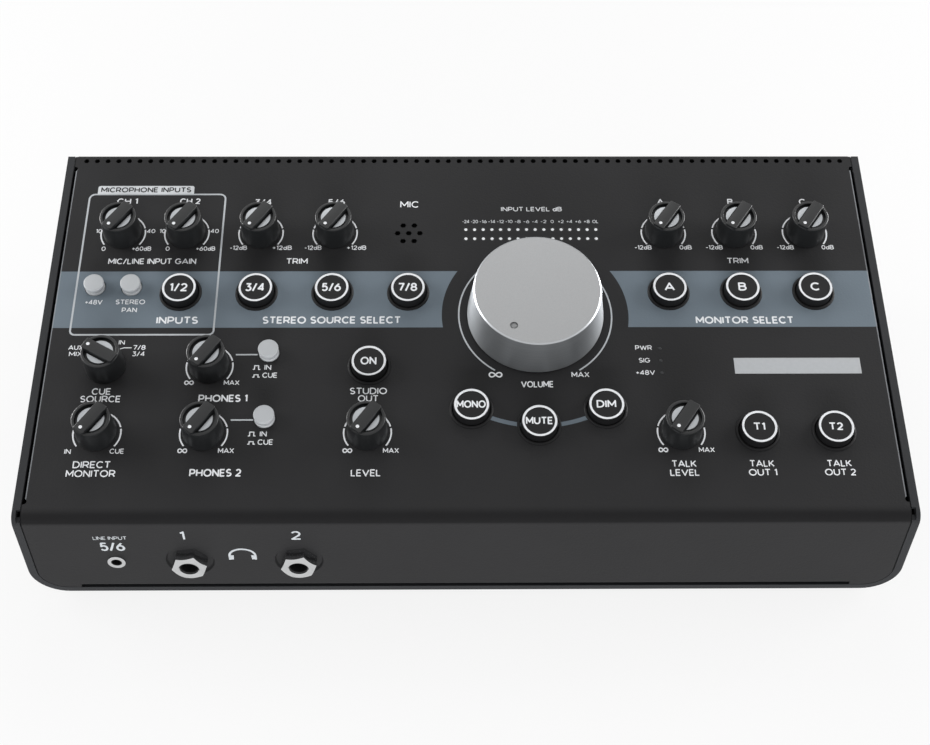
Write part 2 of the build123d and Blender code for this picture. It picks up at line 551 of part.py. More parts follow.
# ---------------------------------------------------------------- potentiometers under the panel
def pot_body(width, length):
    """Housing between the board and the panel, bored for its spindle."""
    with BuildPart() as pot:
        with BuildSketch(Plane.XY.offset(-BOARD_DEPTH)) as case:
            Rectangle(width, length)
        extrude(amount=BOARD_DEPTH - COVER_THICKNESS)
        with BuildSketch(Plane.XY.offset(SPINDLE_BOTTOM - RUNNING_FIT)) as bore:
            RegularPolygon(SPINDLE_RADIUS + RUNNING_FIT, HIDDEN_SIDES, major_radius=False)
        extrude(amount=BOARD_DEPTH, mode=Mode.SUBTRACT)
    return pot.part


pot_master = pot_body(POT_WIDTH, POT_LENGTH)
with BuildPart() as potentiometers:
    with Locations(*seats(KNOBS.values())):
        add(pot_master)
save("potentiometers", potentiometers.part)
volume_pot = pot_body(VOLUME_POT_WIDTH, VOLUME_POT_WIDTH)
save("volume_potentiometer", placed(volume_pot, seat(VOLUME_X, VOLUME_V)))

# ---------------------------------------------------------------- round buttons
with BuildPart() as bezel:
    with BuildSketch(Plane.XY.offset(-BEZEL_DEPTH)) as bezel_ring:
        RegularPolygon(BEZEL_RADIUS, RING_SIDES)
        RegularPolygon(BEZEL_BORE, RING_SIDES, major_radius=False, mode=Mode.SUBTRACT)
    extrude(amount=BEZEL_DEPTH + BEZEL_HEIGHT)
with BuildPart() as button_bezels:
    with Locations(*seats(ROUND_BUTTONS.values())):
        add(bezel.part)
save("button_bezels", button_bezels.part)

CAP_CLIP_TOP = -BEZEL_DEPTH - SLIDE_GAP
CAP_BOTTOM = CAP_CLIP_TOP - CAP_CLIP_THICKNESS
STEM_BOTTOM = -SWITCH_DEPTH - STEM_INSERTION
with BuildPart() as cap:
    with BuildSketch(Plane.XZ) as cap_half:
        with BuildLine() as cap_outline:
            Polyline(
                (0, CAP_BOTTOM),
                (CAP_RADIUS, CAP_BOTTOM),
                (CAP_TOP_RADIUS, CAP_HEIGHT),
                (0, CAP_HEIGHT),
                (0, CAP_BOTTOM),
            )
        make_face()
    revolve(axis=Axis.Z)
    # two clips under the bezel keep the cap from lifting out
    with BuildSketch(Plane.XY.offset(CAP_BOTTOM)) as clips:
        Rectangle(2 * (CAP_RADIUS + CAP_CLIP), CAP_CLIP_WIDTH)
    extrude(amount=CAP_CLIP_THICKNESS)
    with BuildSketch(Plane.XY.offset(STEM_BOTTOM)) as stem:
        Rectangle(STEM_WIDTH, STEM_WIDTH)
    extrude(amount=CAP_BOTTOM - STEM_BOTTOM)
for name, (x, v) in ROUND_BUTTONS.items():
    save(name, placed(cap.part, seat(x, v)))

with BuildPart() as tact_switch:
    with BuildSketch(Plane.XY.offset(-BOARD_DEPTH)) as tact_case:
        Rectangle(SWITCH_WIDTH, SWITCH_WIDTH)
    extrude(amount=SWITCH_HEIGHT)
    with BuildSketch(Plane.XY.offset(-SWITCH_DEPTH)) as tact_bore:
        Rectangle(STEM_WIDTH + 2 * STEM_GAP, STEM_WIDTH + 2 * STEM_GAP)
    extrude(amount=-(STEM_INSERTION + CAP_TRAVEL + STEM_GAP), mode=Mode.SUBTRACT)
with BuildPart() as tact_switches:
    with Locations(*seats(ROUND_BUTTONS.values())):
        add(tact_switch.part)
save("tact_switches", tact_switches.part)

# ---------------------------------------------------------------- small latching buttons
LATCH_STEM_BOTTOM = -LATCH_DEPTH - STEM_INSERTION
with BuildPart() as latch_button:
    with BuildSketch(Plane.XY.offset(-LATCH_COLLAR_DEPTH)) as collar:
        Circle(LATCH_COLLAR_RADIUS)
    extrude(amount=LATCH_COLLAR_DEPTH + LATCH_COLLAR_HEIGHT)
    with BuildSketch(Plane.XY.offset(LATCH_COLLAR_HEIGHT)) as neck:
        Circle(LATCH_NECK_RADIUS)
    extrude(amount=LATCH_NECK_HEIGHT - LATCH_COLLAR_HEIGHT)
    with BuildSketch(Plane.XY.offset(LATCH_NECK_HEIGHT)) as finger_cap:
        Circle(LATCH_CAP_RADIUS)
    extrude(amount=LATCH_CAP_HEIGHT - LATCH_NECK_HEIGHT)
    with BuildSketch(Plane.XY.offset(LATCH_STEM_BOTTOM)) as latch_stem:
        Rectangle(STEM_WIDTH, STEM_WIDTH)
    extrude(amount=-LATCH_COLLAR_DEPTH - LATCH_STEM_BOTTOM)
for name, (x, v) in LATCH_BUTTONS.items():
    save(name, placed(latch_button.part, seat(x, v)))

with BuildPart() as latch_switch:
    with BuildSketch(Plane.XY.offset(-BOARD_DEPTH)) as latch_case:
        Rectangle(LATCH_WIDTH, LATCH_WIDTH)
    extrude(amount=LATCH_HEIGHT)
    with BuildSketch(Plane.XY.offset(-LATCH_DEPTH)) as latch_bore:
        Rectangle(STEM_WIDTH + 2 * STEM_GAP, STEM_WIDTH + 2 * STEM_GAP)
    extrude(amount=-(STEM_INSERTION + LATCH_TRAVEL + STEM_GAP), mode=Mode.SUBTRACT)
with BuildPart() as latch_switches:
    with Locations(*seats(LATCH_BUTTONS.values())):
        add(latch_switch.part)
save("latch_switches", latch_switches.part)

# ---------------------------------------------------------------- lamps and microphone
with BuildPart() as meter_light_guide:
    with BuildSketch(PANEL.offset(-COVER_THICKNESS)) as guide_bar:
        with Locations((METER_X, METER_V)):
            Rectangle(METER_WIDTH, METER_LENGTH)
    extrude(amount=COVER_THICKNESS - BOARD_DEPTH)
save("meter_light_guide", meter_light_guide.part)

with BuildPart() as status_light_pipes:
    with BuildSketch(PANEL.offset(-BOARD_DEPTH)) as pipes:
        with Locations(*[(STATUS_X, v) for v in STATUS_ROWS]):
            RegularPolygon(LAMP_RADIUS, SMALL_SIDES)
    extrude(amount=BOARD_DEPTH)
    with BuildSketch(PANEL.offset(-BOARD_DEPTH)) as pipe_bar:
        with Locations((STATUS_X, STATUS_ROWS[1])):
            Rectangle(STATUS_BAR_WIDTH, STATUS_ROWS[2] - STATUS_ROWS[0] + STATUS_BAR_WIDTH)
    extrude(amount=BOARD_DEPTH - 2 * COVER_THICKNESS)
save("status_light_pipes", status_light_pipes.part)

with BuildPart() as mic_boot:
    with BuildSketch(PANEL.offset(-BOARD_DEPTH)) as boot_ring:
        with Locations((MIC_X, ROW_TOP)):
            RegularPolygon(MIC_CAN_RADIUS + MIC_BOOT_WALL, BORE_SIDES)
    extrude(amount=BOARD_DEPTH - COVER_THICKNESS)
    with BuildSketch(PANEL.offset(-COVER_THICKNESS)) as boot_bore:
        with Locations((MIC_X, ROW_TOP)):
            RegularPolygon(MIC_CAN_RADIUS, BORE_SIDES)
    extrude(amount=-MIC_CAN_HEIGHT - COVER_THICKNESS, mode=Mode.SUBTRACT)
with BuildPart() as mic_can:
    with BuildSketch(PANEL.offset(-2 * COVER_THICKNESS)) as can_round:
        with Locations((MIC_X, ROW_TOP)):
            RegularPolygon(MIC_CAN_RADIUS, BORE_SIDES)
    extrude(amount=-MIC_CAN_HEIGHT)
save("microphone", mic_can.part, mic_boot.part)

# ---------------------------------------------------------------- boards and standoffs
BOARD_HALF = WIDTH / 2 - BOARD_MARGIN_X
V_BOARD_REAR = PANEL_LENGTH - BOARD_MARGIN_REAR
STANDOFF_SPOTS = [
    (x, v)
    for x in (-STANDOFF_X, STANDOFF_MID, STANDOFF_X)
    for v in (STANDOFF_LOW, STANDOFF_HIGH)
]
with BuildPart() as control_board:
    with BuildSketch(PANEL.offset(-BOARD_DEPTH)) as board_outline:
        with Locations((0, (BOARD_MARGIN_FRONT + V_BOARD_REAR) / 2)):
            RectangleRounded(2 * BOARD_HALF, V_BOARD_REAR - BOARD_MARGIN_FRONT, BOARD_CORNER)
    extrude(amount=-BOARD_THICKNESS)
save("control_board", control_board.part)

with BuildPart() as panel_standoffs:
    with BuildSketch(PANEL.offset(-COVER_THICKNESS)) as posts:
        with Locations(*STANDOFF_SPOTS):
            RegularPolygon(STANDOFF_RADIUS, 6)
    extrude(amount=COVER_THICKNESS - BOARD_DEPTH)
save("panel_standoffs", panel_standoffs.part)

Y_IO_REAR = Y_REAR_PANEL - COVER_THICKNESS - IO_BOARD_MARGIN
Y_IO_FRONT = Y_IO_REAR - IO_BOARD_LENGTH
IO_STANDOFFS = [
    (x, y)
    for x in IO_STANDOFF_COLUMNS
    for y in (Y_IO_FRONT + IO_STANDOFF_FRONT, Y_IO_REAR - IO_STANDOFF_REAR)
]
DISH_BACK = COVER_THICKNESS + DISH_DEPTH
Y_PHONES_FRONT = Y_FRONT + DISH_BACK + PHONES_BOARD_GAP
Y_PHONES_STANDOFF = Y_PHONES_FRONT + PHONES_BOARD_LENGTH - PHONES_STANDOFF_EDGE
PHONES_HALF = (JACK_X1 + JACK_PITCH - MINI_X) / 2 + PHONES_BOARD_MARGIN
PHONES_X = (JACK_X1 + JACK_PITCH + MINI_X) / 2
PHONES_STANDOFFS = [
    (PHONES_X - PHONES_HALF + PHONES_STANDOFF_EDGE, Y_PHONES_STANDOFF),
    (PHONES_X + PHONES_HALF - PHONES_STANDOFF_EDGE, Y_PHONES_STANDOFF),
    (PHONES_X + PHONES_STANDOFF_MID[0], Y_PHONES_FRONT + PHONES_STANDOFF_MID[1]),
]


def flat_board(left, right, front, rear, top):
    """Circuit board parallel to the tray's floor."""
    with BuildPart() as board:
        with BuildSketch(Plane.XY.offset(top)) as outline:
            with Locations(((left + right) / 2, (front + rear) / 2)):
                RectangleRounded(right - left, rear - front, BOARD_CORNER)
        extrude(amount=-BOARD_THICKNESS)
    return board.part


save("io_board", flat_board(-BOARD_HALF, BOARD_HALF, Y_IO_FRONT, Y_IO_REAR, Z_IO_BOARD))
save(
    "phones_board",
    flat_board(
        PHONES_X - PHONES_HALF,
        PHONES_X + PHONES_HALF,
        Y_PHONES_FRONT,
        Y_PHONES_FRONT + PHONES_BOARD_LENGTH,
        Z_PHONES_BOARD,
    ),
)
with BuildPart() as floor_standoffs:
    with BuildSketch(Plane.XY.offset(Z_FLOOR)) as io_posts:
        with Locations(*IO_STANDOFFS):
            RegularPolygon(STANDOFF_RADIUS, 6)
    extrude(amount=IO_BOARD_RAISE)
    with BuildSketch(Plane.XY.offset(Z_FLOOR)) as phones_posts:
        with Locations(*PHONES_STANDOFFS):
            RegularPolygon(STANDOFF_RADIUS, 6)
    extrude(amount=PHONES_BOARD_RAISE)
save("floor_standoffs", floor_standoffs.part)


# ---------------------------------------------------------------- sockets
JACK_SPOTS = [(JACK_X1, Z_JACK), (JACK_X1 + JACK_PITCH, Z_JACK)]
with BuildPart() as phones_jacks:
    with BuildSketch(FRONT.offset(-DISH_BACK)) as jack_cases:
        for x, z in JACK_SPOTS:
            with Locations((x, (Z_PHONES_BOARD + z + JACK_BODY_HEIGHT / 2) / 2)):
                Rectangle(JACK_BODY_WIDTH, z + JACK_BODY_HEIGHT / 2 - Z_PHONES_BOARD)
    extrude(amount=-JACK_BODY_DEPTH)
    with BuildSketch(FRONT.offset(-DISH_BACK)) as jack_necks:
        with Locations(*JACK_SPOTS):
            RegularPolygon(JACK_BUSH_RADIUS, BORE_SIDES)
    extrude(amount=DISH_BACK + JACK_BUSH_REACH)
    with BuildSketch(FRONT.offset(JACK_BUSH_REACH)) as jack_bores:
        with Locations(*JACK_SPOTS):
            RegularPolygon(PLUG_RADIUS, BORE_SIDES, major_radius=False)
    extrude(amount=-JACK_BUSH_REACH - JACK_BODY_DEPTH, mode=Mode.SUBTRACT)
    with BuildSketch(FRONT.offset(JACK_BUSH_REACH)) as jack_mouths:
        with Locations(*JACK_SPOTS):
            RegularPolygon(PLUG_RADIUS + JACK_LEAD_IN, BORE_SIDES, major_radius=False)
    extrude(amount=-JACK_LEAD_IN, taper=45, mode=Mode.SUBTRACT)
save("phones_jacks", phones_jacks.part)

with BuildPart() as mini_jack:
    with BuildSketch(FRONT.offset(-COVER_THICKNESS)) as mini_case:
        with Locations((MINI_X, (Z_PHONES_BOARD + Z_JACK + MINI_BODY_TOP) / 2)):
            Rectangle(MINI_BODY_WIDTH, Z_JACK + MINI_BODY_TOP - Z_PHONES_BOARD)
    extrude(amount=-MINI_BODY_DEPTH)
    with BuildSketch(FRONT.offset(-COVER_THICKNESS)) as mini_neck:
        with Locations((MINI_X, Z_JACK)):
            RegularPolygon(MINI_BUSH_RADIUS, BORE_SIDES)
    extrude(amount=COVER_THICKNESS + MINI_RING_THICKNESS)
    with BuildSketch(FRONT.offset(MINI_RING_THICKNESS)) as mini_bore:
        with Locations((MINI_X, Z_JACK)):
            RegularPolygon(MINI_PLUG_RADIUS, BORE_SIDES, major_radius=False)
    extrude(amount=-MINI_BODY_DEPTH, mode=Mode.SUBTRACT)
save("mini_jack", mini_jack.part)


with BuildPart() as jack_nuts:
    with BuildSketch(FRONT.offset(-DISH_DEPTH)) as hexagons:
        with Locations(*JACK_SPOTS):
            RegularPolygon(NUT_ACROSS_FLATS / 2, 6, major_radius=False)
            RegularPolygon(JACK_BUSH_RADIUS, BORE_SIDES, mode=Mode.SUBTRACT)
    extrude(amount=DISH_DEPTH + NUT_PROUD)
    with BuildSketch(FRONT) as ring_section:
        with Locations((MINI_X, Z_JACK)):
            Circle(MINI_RING_RADIUS)
            RegularPolygon(MINI_BUSH_RADIUS, BORE_SIDES, mode=Mode.SUBTRACT)
    extrude(amount=MINI_RING_THICKNESS)
save("jack_nuts", jack_nuts.part)

REAR_INSIDE = REAR.offset(-COVER_THICKNESS)
LINE_SPOTS = rear_spots(LINE_COLUMNS, LINE_ROWS)
LINE_TOP = LINE_LOWER + LINE_TIER + LINE_LOWER
with BuildPart() as line_jacks:
    with BuildSketch(REAR_INSIDE) as line_cases:
        with Locations(*[(-x, Z_IO_BOARD + LINE_TOP / 2) for x in LINE_COLUMNS]):
            Rectangle(LINE_WIDTH, LINE_TOP)
    extrude(amount=-LINE_DEPTH)
    with BuildSketch(REAR_INSIDE) as line_necks:
        with Locations(*LINE_SPOTS):
            RegularPolygon(JACK_BUSH_RADIUS, HIDDEN_SIDES)
    extrude(amount=COVER_THICKNESS + REAR_BUSH_REACH)
    with BuildSketch(REAR.offset(REAR_BUSH_REACH)) as line_bores:
        with Locations(*LINE_SPOTS):
            RegularPolygon(PLUG_RADIUS, BORE_SIDES, major_radius=False)
    extrude(amount=-REAR_BUSH_REACH - LINE_DEPTH, mode=Mode.SUBTRACT)
save("line_jacks", line_jacks.part)
COMBO_SPOTS = rear_spots(COMBO_COLUMNS, [Z_COMBO])
with BuildPart() as combo_sockets:
    with BuildSketch(REAR_INSIDE) as combo_cases:
        with Locations(*[(x, (z + COMBO_FLANGE_HEIGHT / 2 + Z_IO_BOARD) / 2) for x, z in COMBO_SPOTS]):
            Rectangle(COMBO_FLANGE_WIDTH, Z_COMBO + COMBO_FLANGE_HEIGHT / 2 - Z_IO_BOARD)
    extrude(amount=-COMBO_DEPTH)
    with BuildSketch(REAR_INSIDE) as combo_noses:
        with Locations(*COMBO_SPOTS):
            Circle(COMBO_RADIUS)
    extrude(amount=COVER_THICKNESS + COMBO_FLANGE_THICKNESS)
    with BuildSketch(REAR.offset(COMBO_FLANGE_THICKNESS)) as combo_plug:
        with Locations(*COMBO_SPOTS):
            RegularPolygon(COMBO_PLUG_RADIUS, BORE_SIDES, major_radius=False)
    extrude(amount=-COMBO_DEPTH, mode=Mode.SUBTRACT)
    with BuildSketch(REAR.offset(COMBO_FLANGE_THICKNESS)) as combo_pins:
        for x, z in COMBO_SPOTS:
            with Locations((x, z)):
                with PolarLocations(COMBO_PIN_CIRCLE, 3, start_angle=-90, angular_range=240):
                    RegularPolygon(COMBO_PIN_RADIUS, SMALL_SIDES)
    extrude(amount=-COMBO_DEPTH / 2, mode=Mode.SUBTRACT)
save("combo_sockets", combo_sockets.part)

with BuildPart() as usb_socket:
    with BuildSketch(REAR) as usb_shell:
        with Locations((-USB_X, Z_USB)):
            Rectangle(USB_WIDTH, USB_HEIGHT)
    extrude(amount=-USB_DEPTH)
    with BuildSketch(REAR) as usb_mouth:
        with Locations((-USB_X, Z_USB)):
            Rectangle(USB_MOUTH_WIDTH, USB_MOUTH_HEIGHT)
        chamfer(usb_mouth.vertices().group_by(Axis.Z)[-1], USB_MOUTH_CHAMFER)
        with Locations((-USB_X, Z_USB)):
            Rectangle(USB_TONGUE_WIDTH, USB_TONGUE_HEIGHT, mode=Mode.SUBTRACT)
    extrude(amount=-USB_MOUTH_DEPTH, mode=Mode.SUBTRACT)
save("usb_socket", usb_socket.part)

with BuildPart() as power_inlet:
    with BuildSketch(REAR) as inlet_case:
        with Locations((-INLET_X, Z_INLET)):
            Rectangle(INLET_WIDTH, INLET_HEIGHT)
    extrude(amount=-INLET_DEPTH)
    with BuildSketch(REAR) as inlet_bore:
        with Locations((-INLET_X, Z_INLET)):
            RegularPolygon(INLET_HOLE_RADIUS, BORE_SIDES)
            RegularPolygon(INLET_PIN_RADIUS, SMALL_SIDES, mode=Mode.SUBTRACT)
    extrude(amount=-INLET_HOLE_DEPTH, mode=Mode.SUBTRACT)
save("power_inlet", power_inlet.part)

# ---------------------------------------------------------------- power switch
ROCKER_Y = Y_REAR_PANEL - ROCKER_PIVOT_DEPTH
with BuildPart() as power_switch_case:
    with BuildSketch(REAR) as switch_case:
        with Locations((-POWER_X, Z_POWER)):
            Rectangle(POWER_WIDTH, POWER_HEIGHT)
    extrude(amount=-POWER_DEPTH)
    with BuildSketch(REAR) as switch_bezel:
        with Locations((-POWER_X, Z_POWER)):
            RectangleRounded(
                POWER_WIDTH + 2 * POWER_BEZEL, POWER_HEIGHT + 2 * POWER_BEZEL, POWER_BEZEL_CORNER
            )
    extrude(amount=POWER_BEZEL_THICKNESS)
    with BuildSketch(REAR.offset(POWER_BEZEL_THICKNESS)) as rocker_well:
        with Locations((-POWER_X, Z_POWER)):
            Rectangle(ROCKER_WIDTH + 2 * SLIDE_GAP, 2 * ROCKER_HALF + 2 * ROCKER_END_GAP)
    extrude(amount=-ROCKER_WELL_DEPTH, mode=Mode.SUBTRACT)
    with BuildSketch(Plane.YZ.offset(POWER_X - POWER_WIDTH / 2)) as pivot_holes:
        with Locations((ROCKER_Y, Z_POWER)):
            Circle(ROCKER_PIVOT_RADIUS + RUNNING_FIT)
    extrude(amount=POWER_WIDTH, mode=Mode.SUBTRACT)
save("power_switch_case", power_switch_case.part)

rocker_plane = Plane(
    origin=(POWER_X - ROCKER_WIDTH / 2, ROCKER_Y, Z_POWER),
    x_dir=(0, cos(radians(ROCKER_TILT)), -sin(radians(ROCKER_TILT))),
    z_dir=(1, 0, 0),
)
with BuildPart() as power_rocker:
    with BuildSketch(rocker_plane) as rocker_side:
        with BuildLine() as rocker_outline:
            finger_face = ThreePointArc(
                (ROCKER_REACH, ROCKER_HALF),
                (ROCKER_REACH - ROCKER_HOLLOW, 0),
                (ROCKER_REACH, -ROCKER_HALF),
            )
            Polyline(
                finger_face @ 1,
                (ROCKER_KNEE, ROCKER_HOLLOW - ROCKER_HALF),
                (-ROCKER_PIVOT_RADIUS - 1, -ROCKER_PIVOT_RADIUS),
                (-ROCKER_PIVOT_RADIUS - 1, ROCKER_PIVOT_RADIUS),
                (ROCKER_KNEE, ROCKER_HALF - ROCKER_HOLLOW),
                finger_face @ 0,
            )
        make_face()
    extrude(amount=ROCKER_WIDTH)
    with BuildSketch(Plane.YZ.offset(POWER_X - POWER_WIDTH / 2 + SLIDE_GAP)) as pivot_pin:
        with Locations((ROCKER_Y, Z_POWER)):
            Circle(ROCKER_PIVOT_RADIUS)
    extrude(amount=POWER_WIDTH - 2 * SLIDE_GAP)
save("power_rocker", power_rocker.part)

# ---------------------------------------------------------------- ribbon cable between the boards
Y_RIBBON = Y_IO_FRONT + HEADER_DEPTH / 2 + HEADER_INSET
Z_RIBBON_LOW = Z_IO_BOARD + HEADER_HEIGHT
with BuildPart() as ribbon_cable:
    with BuildSketch(Plane.YZ.offset(RIBBON_X - RIBBON_WIDTH / 2)) as ribbon_side:
        with Locations((Y_RIBBON, Z_IO_BOARD + HEADER_HEIGHT / 2)):
            Rectangle(HEADER_DEPTH, HEADER_HEIGHT)
    extrude(amount=RIBBON_WIDTH)
    with BuildSketch(Plane.XY.offset(Z_RIBBON_LOW)) as ribbon_strip:
        with Locations((RIBBON_X, Y_RIBBON)):
            Rectangle(RIBBON_WIDTH, RIBBON_THICKNESS)
    extrude(until=Until.NEXT, target=control_board.part)
save("ribbon_cable", ribbon_cable.part)

# ---------------------------------------------------------------- feet
FOOT_SPOTS = [(x, y) for x in (-FOOT_X, FOOT_X) for y in (-FOOT_Y, FOOT_Y)]
with BuildPart() as feet:
    with BuildSketch(Plane.XY.offset(Z_TRAY)) as foot_tops:
        with Locations(*FOOT_SPOTS):
            Circle(FOOT_RADIUS)
    extrude(amount=-FEET_HEIGHT, taper=FOOT_TAPER)
save("feet", feet.part)
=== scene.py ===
"""Scene of the desktop studio monitor controller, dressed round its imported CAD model.

Lengths are written in millimetres and turned into metres where a mesh or a place is made.
Controls are placed on the sloping panel by x (right of the centre line) and v (up the slope).
"""

import math

import bmesh
import bpy
from mathutils import Matrix, Vector
from mathutils.geometry import delaunay_2d_cdt


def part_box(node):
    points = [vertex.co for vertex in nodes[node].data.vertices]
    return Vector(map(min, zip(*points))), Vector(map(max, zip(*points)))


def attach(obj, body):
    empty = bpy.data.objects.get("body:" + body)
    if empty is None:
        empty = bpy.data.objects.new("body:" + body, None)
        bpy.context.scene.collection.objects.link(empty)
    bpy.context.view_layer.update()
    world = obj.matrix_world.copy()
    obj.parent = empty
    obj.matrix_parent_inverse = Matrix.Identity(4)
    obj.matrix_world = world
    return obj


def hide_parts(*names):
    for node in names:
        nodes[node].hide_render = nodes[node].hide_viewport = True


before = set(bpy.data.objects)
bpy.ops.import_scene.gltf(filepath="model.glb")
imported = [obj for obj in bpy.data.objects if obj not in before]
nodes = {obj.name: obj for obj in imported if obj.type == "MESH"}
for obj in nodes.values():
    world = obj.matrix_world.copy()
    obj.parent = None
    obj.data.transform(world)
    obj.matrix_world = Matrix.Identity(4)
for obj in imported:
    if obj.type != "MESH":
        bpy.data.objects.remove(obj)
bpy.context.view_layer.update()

MM = 0.001

# ---------------------------------------------------------------- housing and control places
SLOPE = math.radians(12.5)
Y_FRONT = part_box("top_cover")[0].y / MM
Y_REAR_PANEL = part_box("rear_panel")[1].y / MM
Z_FRONT_EDGE = 49.8
Z_UNDERSIDE = 3.0
ROW_FRONT, ROW_MIDDLE, ROW_BUTTONS, ROW_TOP = 37.2, 67.2, 102.2, 132.2
BAND_LOW, BAND_HIGH, BAND_CUT_RADIUS = 85.4, 112.9, 38.25
VOLUME_X, VOLUME_V = 28.45, 91.5
TALK_RADIUS, TALK_ANGLE = 51.5, math.radians(31.0)
TALK_DX, TALK_DV = TALK_RADIUS * math.sin(TALK_ANGLE), TALK_RADIUS * math.cos(TALK_ANGLE)
MIN_TURN, SELECTOR_TURN = math.radians(145.0), math.radians(60.0)
VOLUME_TURN = math.radians(150.0)
JACK_SPOTS = ((-108.1, 23.6), (-65.6, 23.6))
MINI_SPOT = (-136.7, 23.6)
LINE_COLUMNS = (-72.0, 54.0, 84.0, 114.0, 144.0)
LINE_ROWS = (20.2, 40.2)

KNOBS = {
    "gain_1_knob": (-144.2, ROW_TOP, MIN_TURN),
    "gain_2_knob": (-117.4, ROW_TOP, MIN_TURN),
    "trim_34_knob": (-86.15, ROW_TOP, MIN_TURN),
    "trim_56_knob": (-54.9, ROW_TOP, MIN_TURN),
    "trim_a_knob": (84.0, ROW_TOP, MIN_TURN),
    "trim_b_knob": (114.0, ROW_TOP, MIN_TURN),
    "trim_c_knob": (144.0, ROW_TOP, MIN_TURN),
    "cue_source_knob": (-144.2, ROW_MIDDLE, SELECTOR_TURN),
    "direct_monitor_knob": (-144.2, ROW_FRONT, MIN_TURN),
    "phones_1_knob": (-102.7, ROW_MIDDLE, MIN_TURN),
    "phones_2_knob": (-102.7, ROW_FRONT, MIN_TURN),
    "studio_level_knob": (-38.8, ROW_FRONT, MIN_TURN),
    "talkback_level_knob": (84.0, ROW_FRONT, MIN_TURN),
}
# place, legend, its capitals' height and its width
ROUND_BUTTONS = {
    "source_12_button": (-117.4, ROW_BUTTONS, "1/2", 4.0, 7.4),
    "source_34_button": (-86.15, ROW_BUTTONS, "3/4", 4.0, 8.0),
    "source_56_button": (-54.9, ROW_BUTTONS, "5/6", 4.0, 7.9),
    "source_78_button": (-23.65, ROW_BUTTONS, "7/8", 4.0, 7.9),
    "monitor_a_button": (84.0, ROW_BUTTONS, "A", 4.0, 4.3),
    "monitor_b_button": (114.0, ROW_BUTTONS, "B", 4.0, 3.4),
    "monitor_c_button": (144.0, ROW_BUTTONS, "C", 4.0, 3.9),
    "studio_on_button": (-38.8, ROW_MIDDLE, "ON", 3.6, 6.4),
    "mono_button": (VOLUME_X - TALK_DX, VOLUME_V - TALK_DV, "MONO", 3.3, 11.5),
    "mute_button": (VOLUME_X, VOLUME_V - TALK_RADIUS, "MUTE", 3.3, 10.6),
    "dim_button": (VOLUME_X + TALK_DX, VOLUME_V - TALK_DV, "DIM", 3.4, 7.7),
    "talk_2track_button": (114.0, ROW_FRONT, "T1", 3.4, 4.6),
    "talk_cue_button": (144.0, ROW_FRONT, "T2", 3.4, 5.6),
}
LATCH_BUTTONS = {
    "phantom_button": (-152.8, 105.1),
    "stereo_pan_button": (-137.8, 105.1),
    "phones_1_source_button": (-79.3, 73.5),
    "phones_2_source_button": (-79.3, 43.5),
}

COS, SIN = math.cos(SLOPE), math.sin(SLOPE)
PANEL = Matrix(
    ((1, 0, 0, 0), (0, COS, -SIN, Y_FRONT * MM), (0, SIN, COS, Z_FRONT_EDGE * MM), (0, 0, 0, 1))
)
FRONT = Matrix(((1, 0, 0, 0), (0, 0, -1, Y_FRONT * MM), (0, 1, 0, 0), (0, 0, 0, 1)))
REAR = Matrix(((-1, 0, 0, 0), (0, 0, 1, Y_REAR_PANEL * MM), (0, 1, 0, 0), (0, 0, 0, 1)))
UNDERSIDE = Matrix(((1, 0, 0, 0), (0, -1, 0, 0), (0, 0, -1, Z_UNDERSIDE * MM), (0, 0, 0, 1)))


def place(surface, x, y, turn=0.0):
    """Where a piece modelled on the XY plane goes: on one of the housing's faces."""
    spot = Matrix.Translation(Vector((x, y, 0)) * MM)
    return surface @ spot @ Matrix.Rotation(turn, 4, "Z")


# ---------------------------------------------------------------- shader maths
class Wire:
    """A shader socket that Python's operators work on."""

    def __init__(self, finish, socket):
        self.finish = finish
        self.socket = socket

    def math(self, operation, *others):
        """A Math node on this socket and the other values."""
        values = dict(enumerate((self, *others)))
        return self.finish.node("Math", {"operation": operation}, values)

    def __add__(self, other):
        return self.math("ADD", other)

    def __sub__(self, other):
        return self.math("SUBTRACT", other)

    def __rsub__(self, other):
        return self.finish.node("Math", {"operation": "SUBTRACT"}, {0: other, 1: self})

    def __mul__(self, other):
        return self.math("MULTIPLY", other)

    def __pow__(self, other):
        return self.math("POWER", other)

    __radd__ = __add__
    __rmul__ = __mul__

    def ramp(self, low, high):
        """Rises smoothly from 0 to 1 between two values."""
        sockets = {"Value": self, "From Min": low, "From Max": high}
        return self.finish.node("MapRange", {"interpolation_type": "SMOOTHSTEP"}, sockets)

    def above(self, limit, soft):
        """0 below a limit in millimetres and 1 above it, with a soft edge of that width."""
        return self.ramp((limit - soft / 2) * MM, (limit + soft / 2) * MM)

    def between(self, low, high, soft_low, soft_high):
        """1 between two limits in millimetres and 0 outside them, with soft edges."""
        return self.above(low, soft_low) * (1 - self.above(high, soft_high))


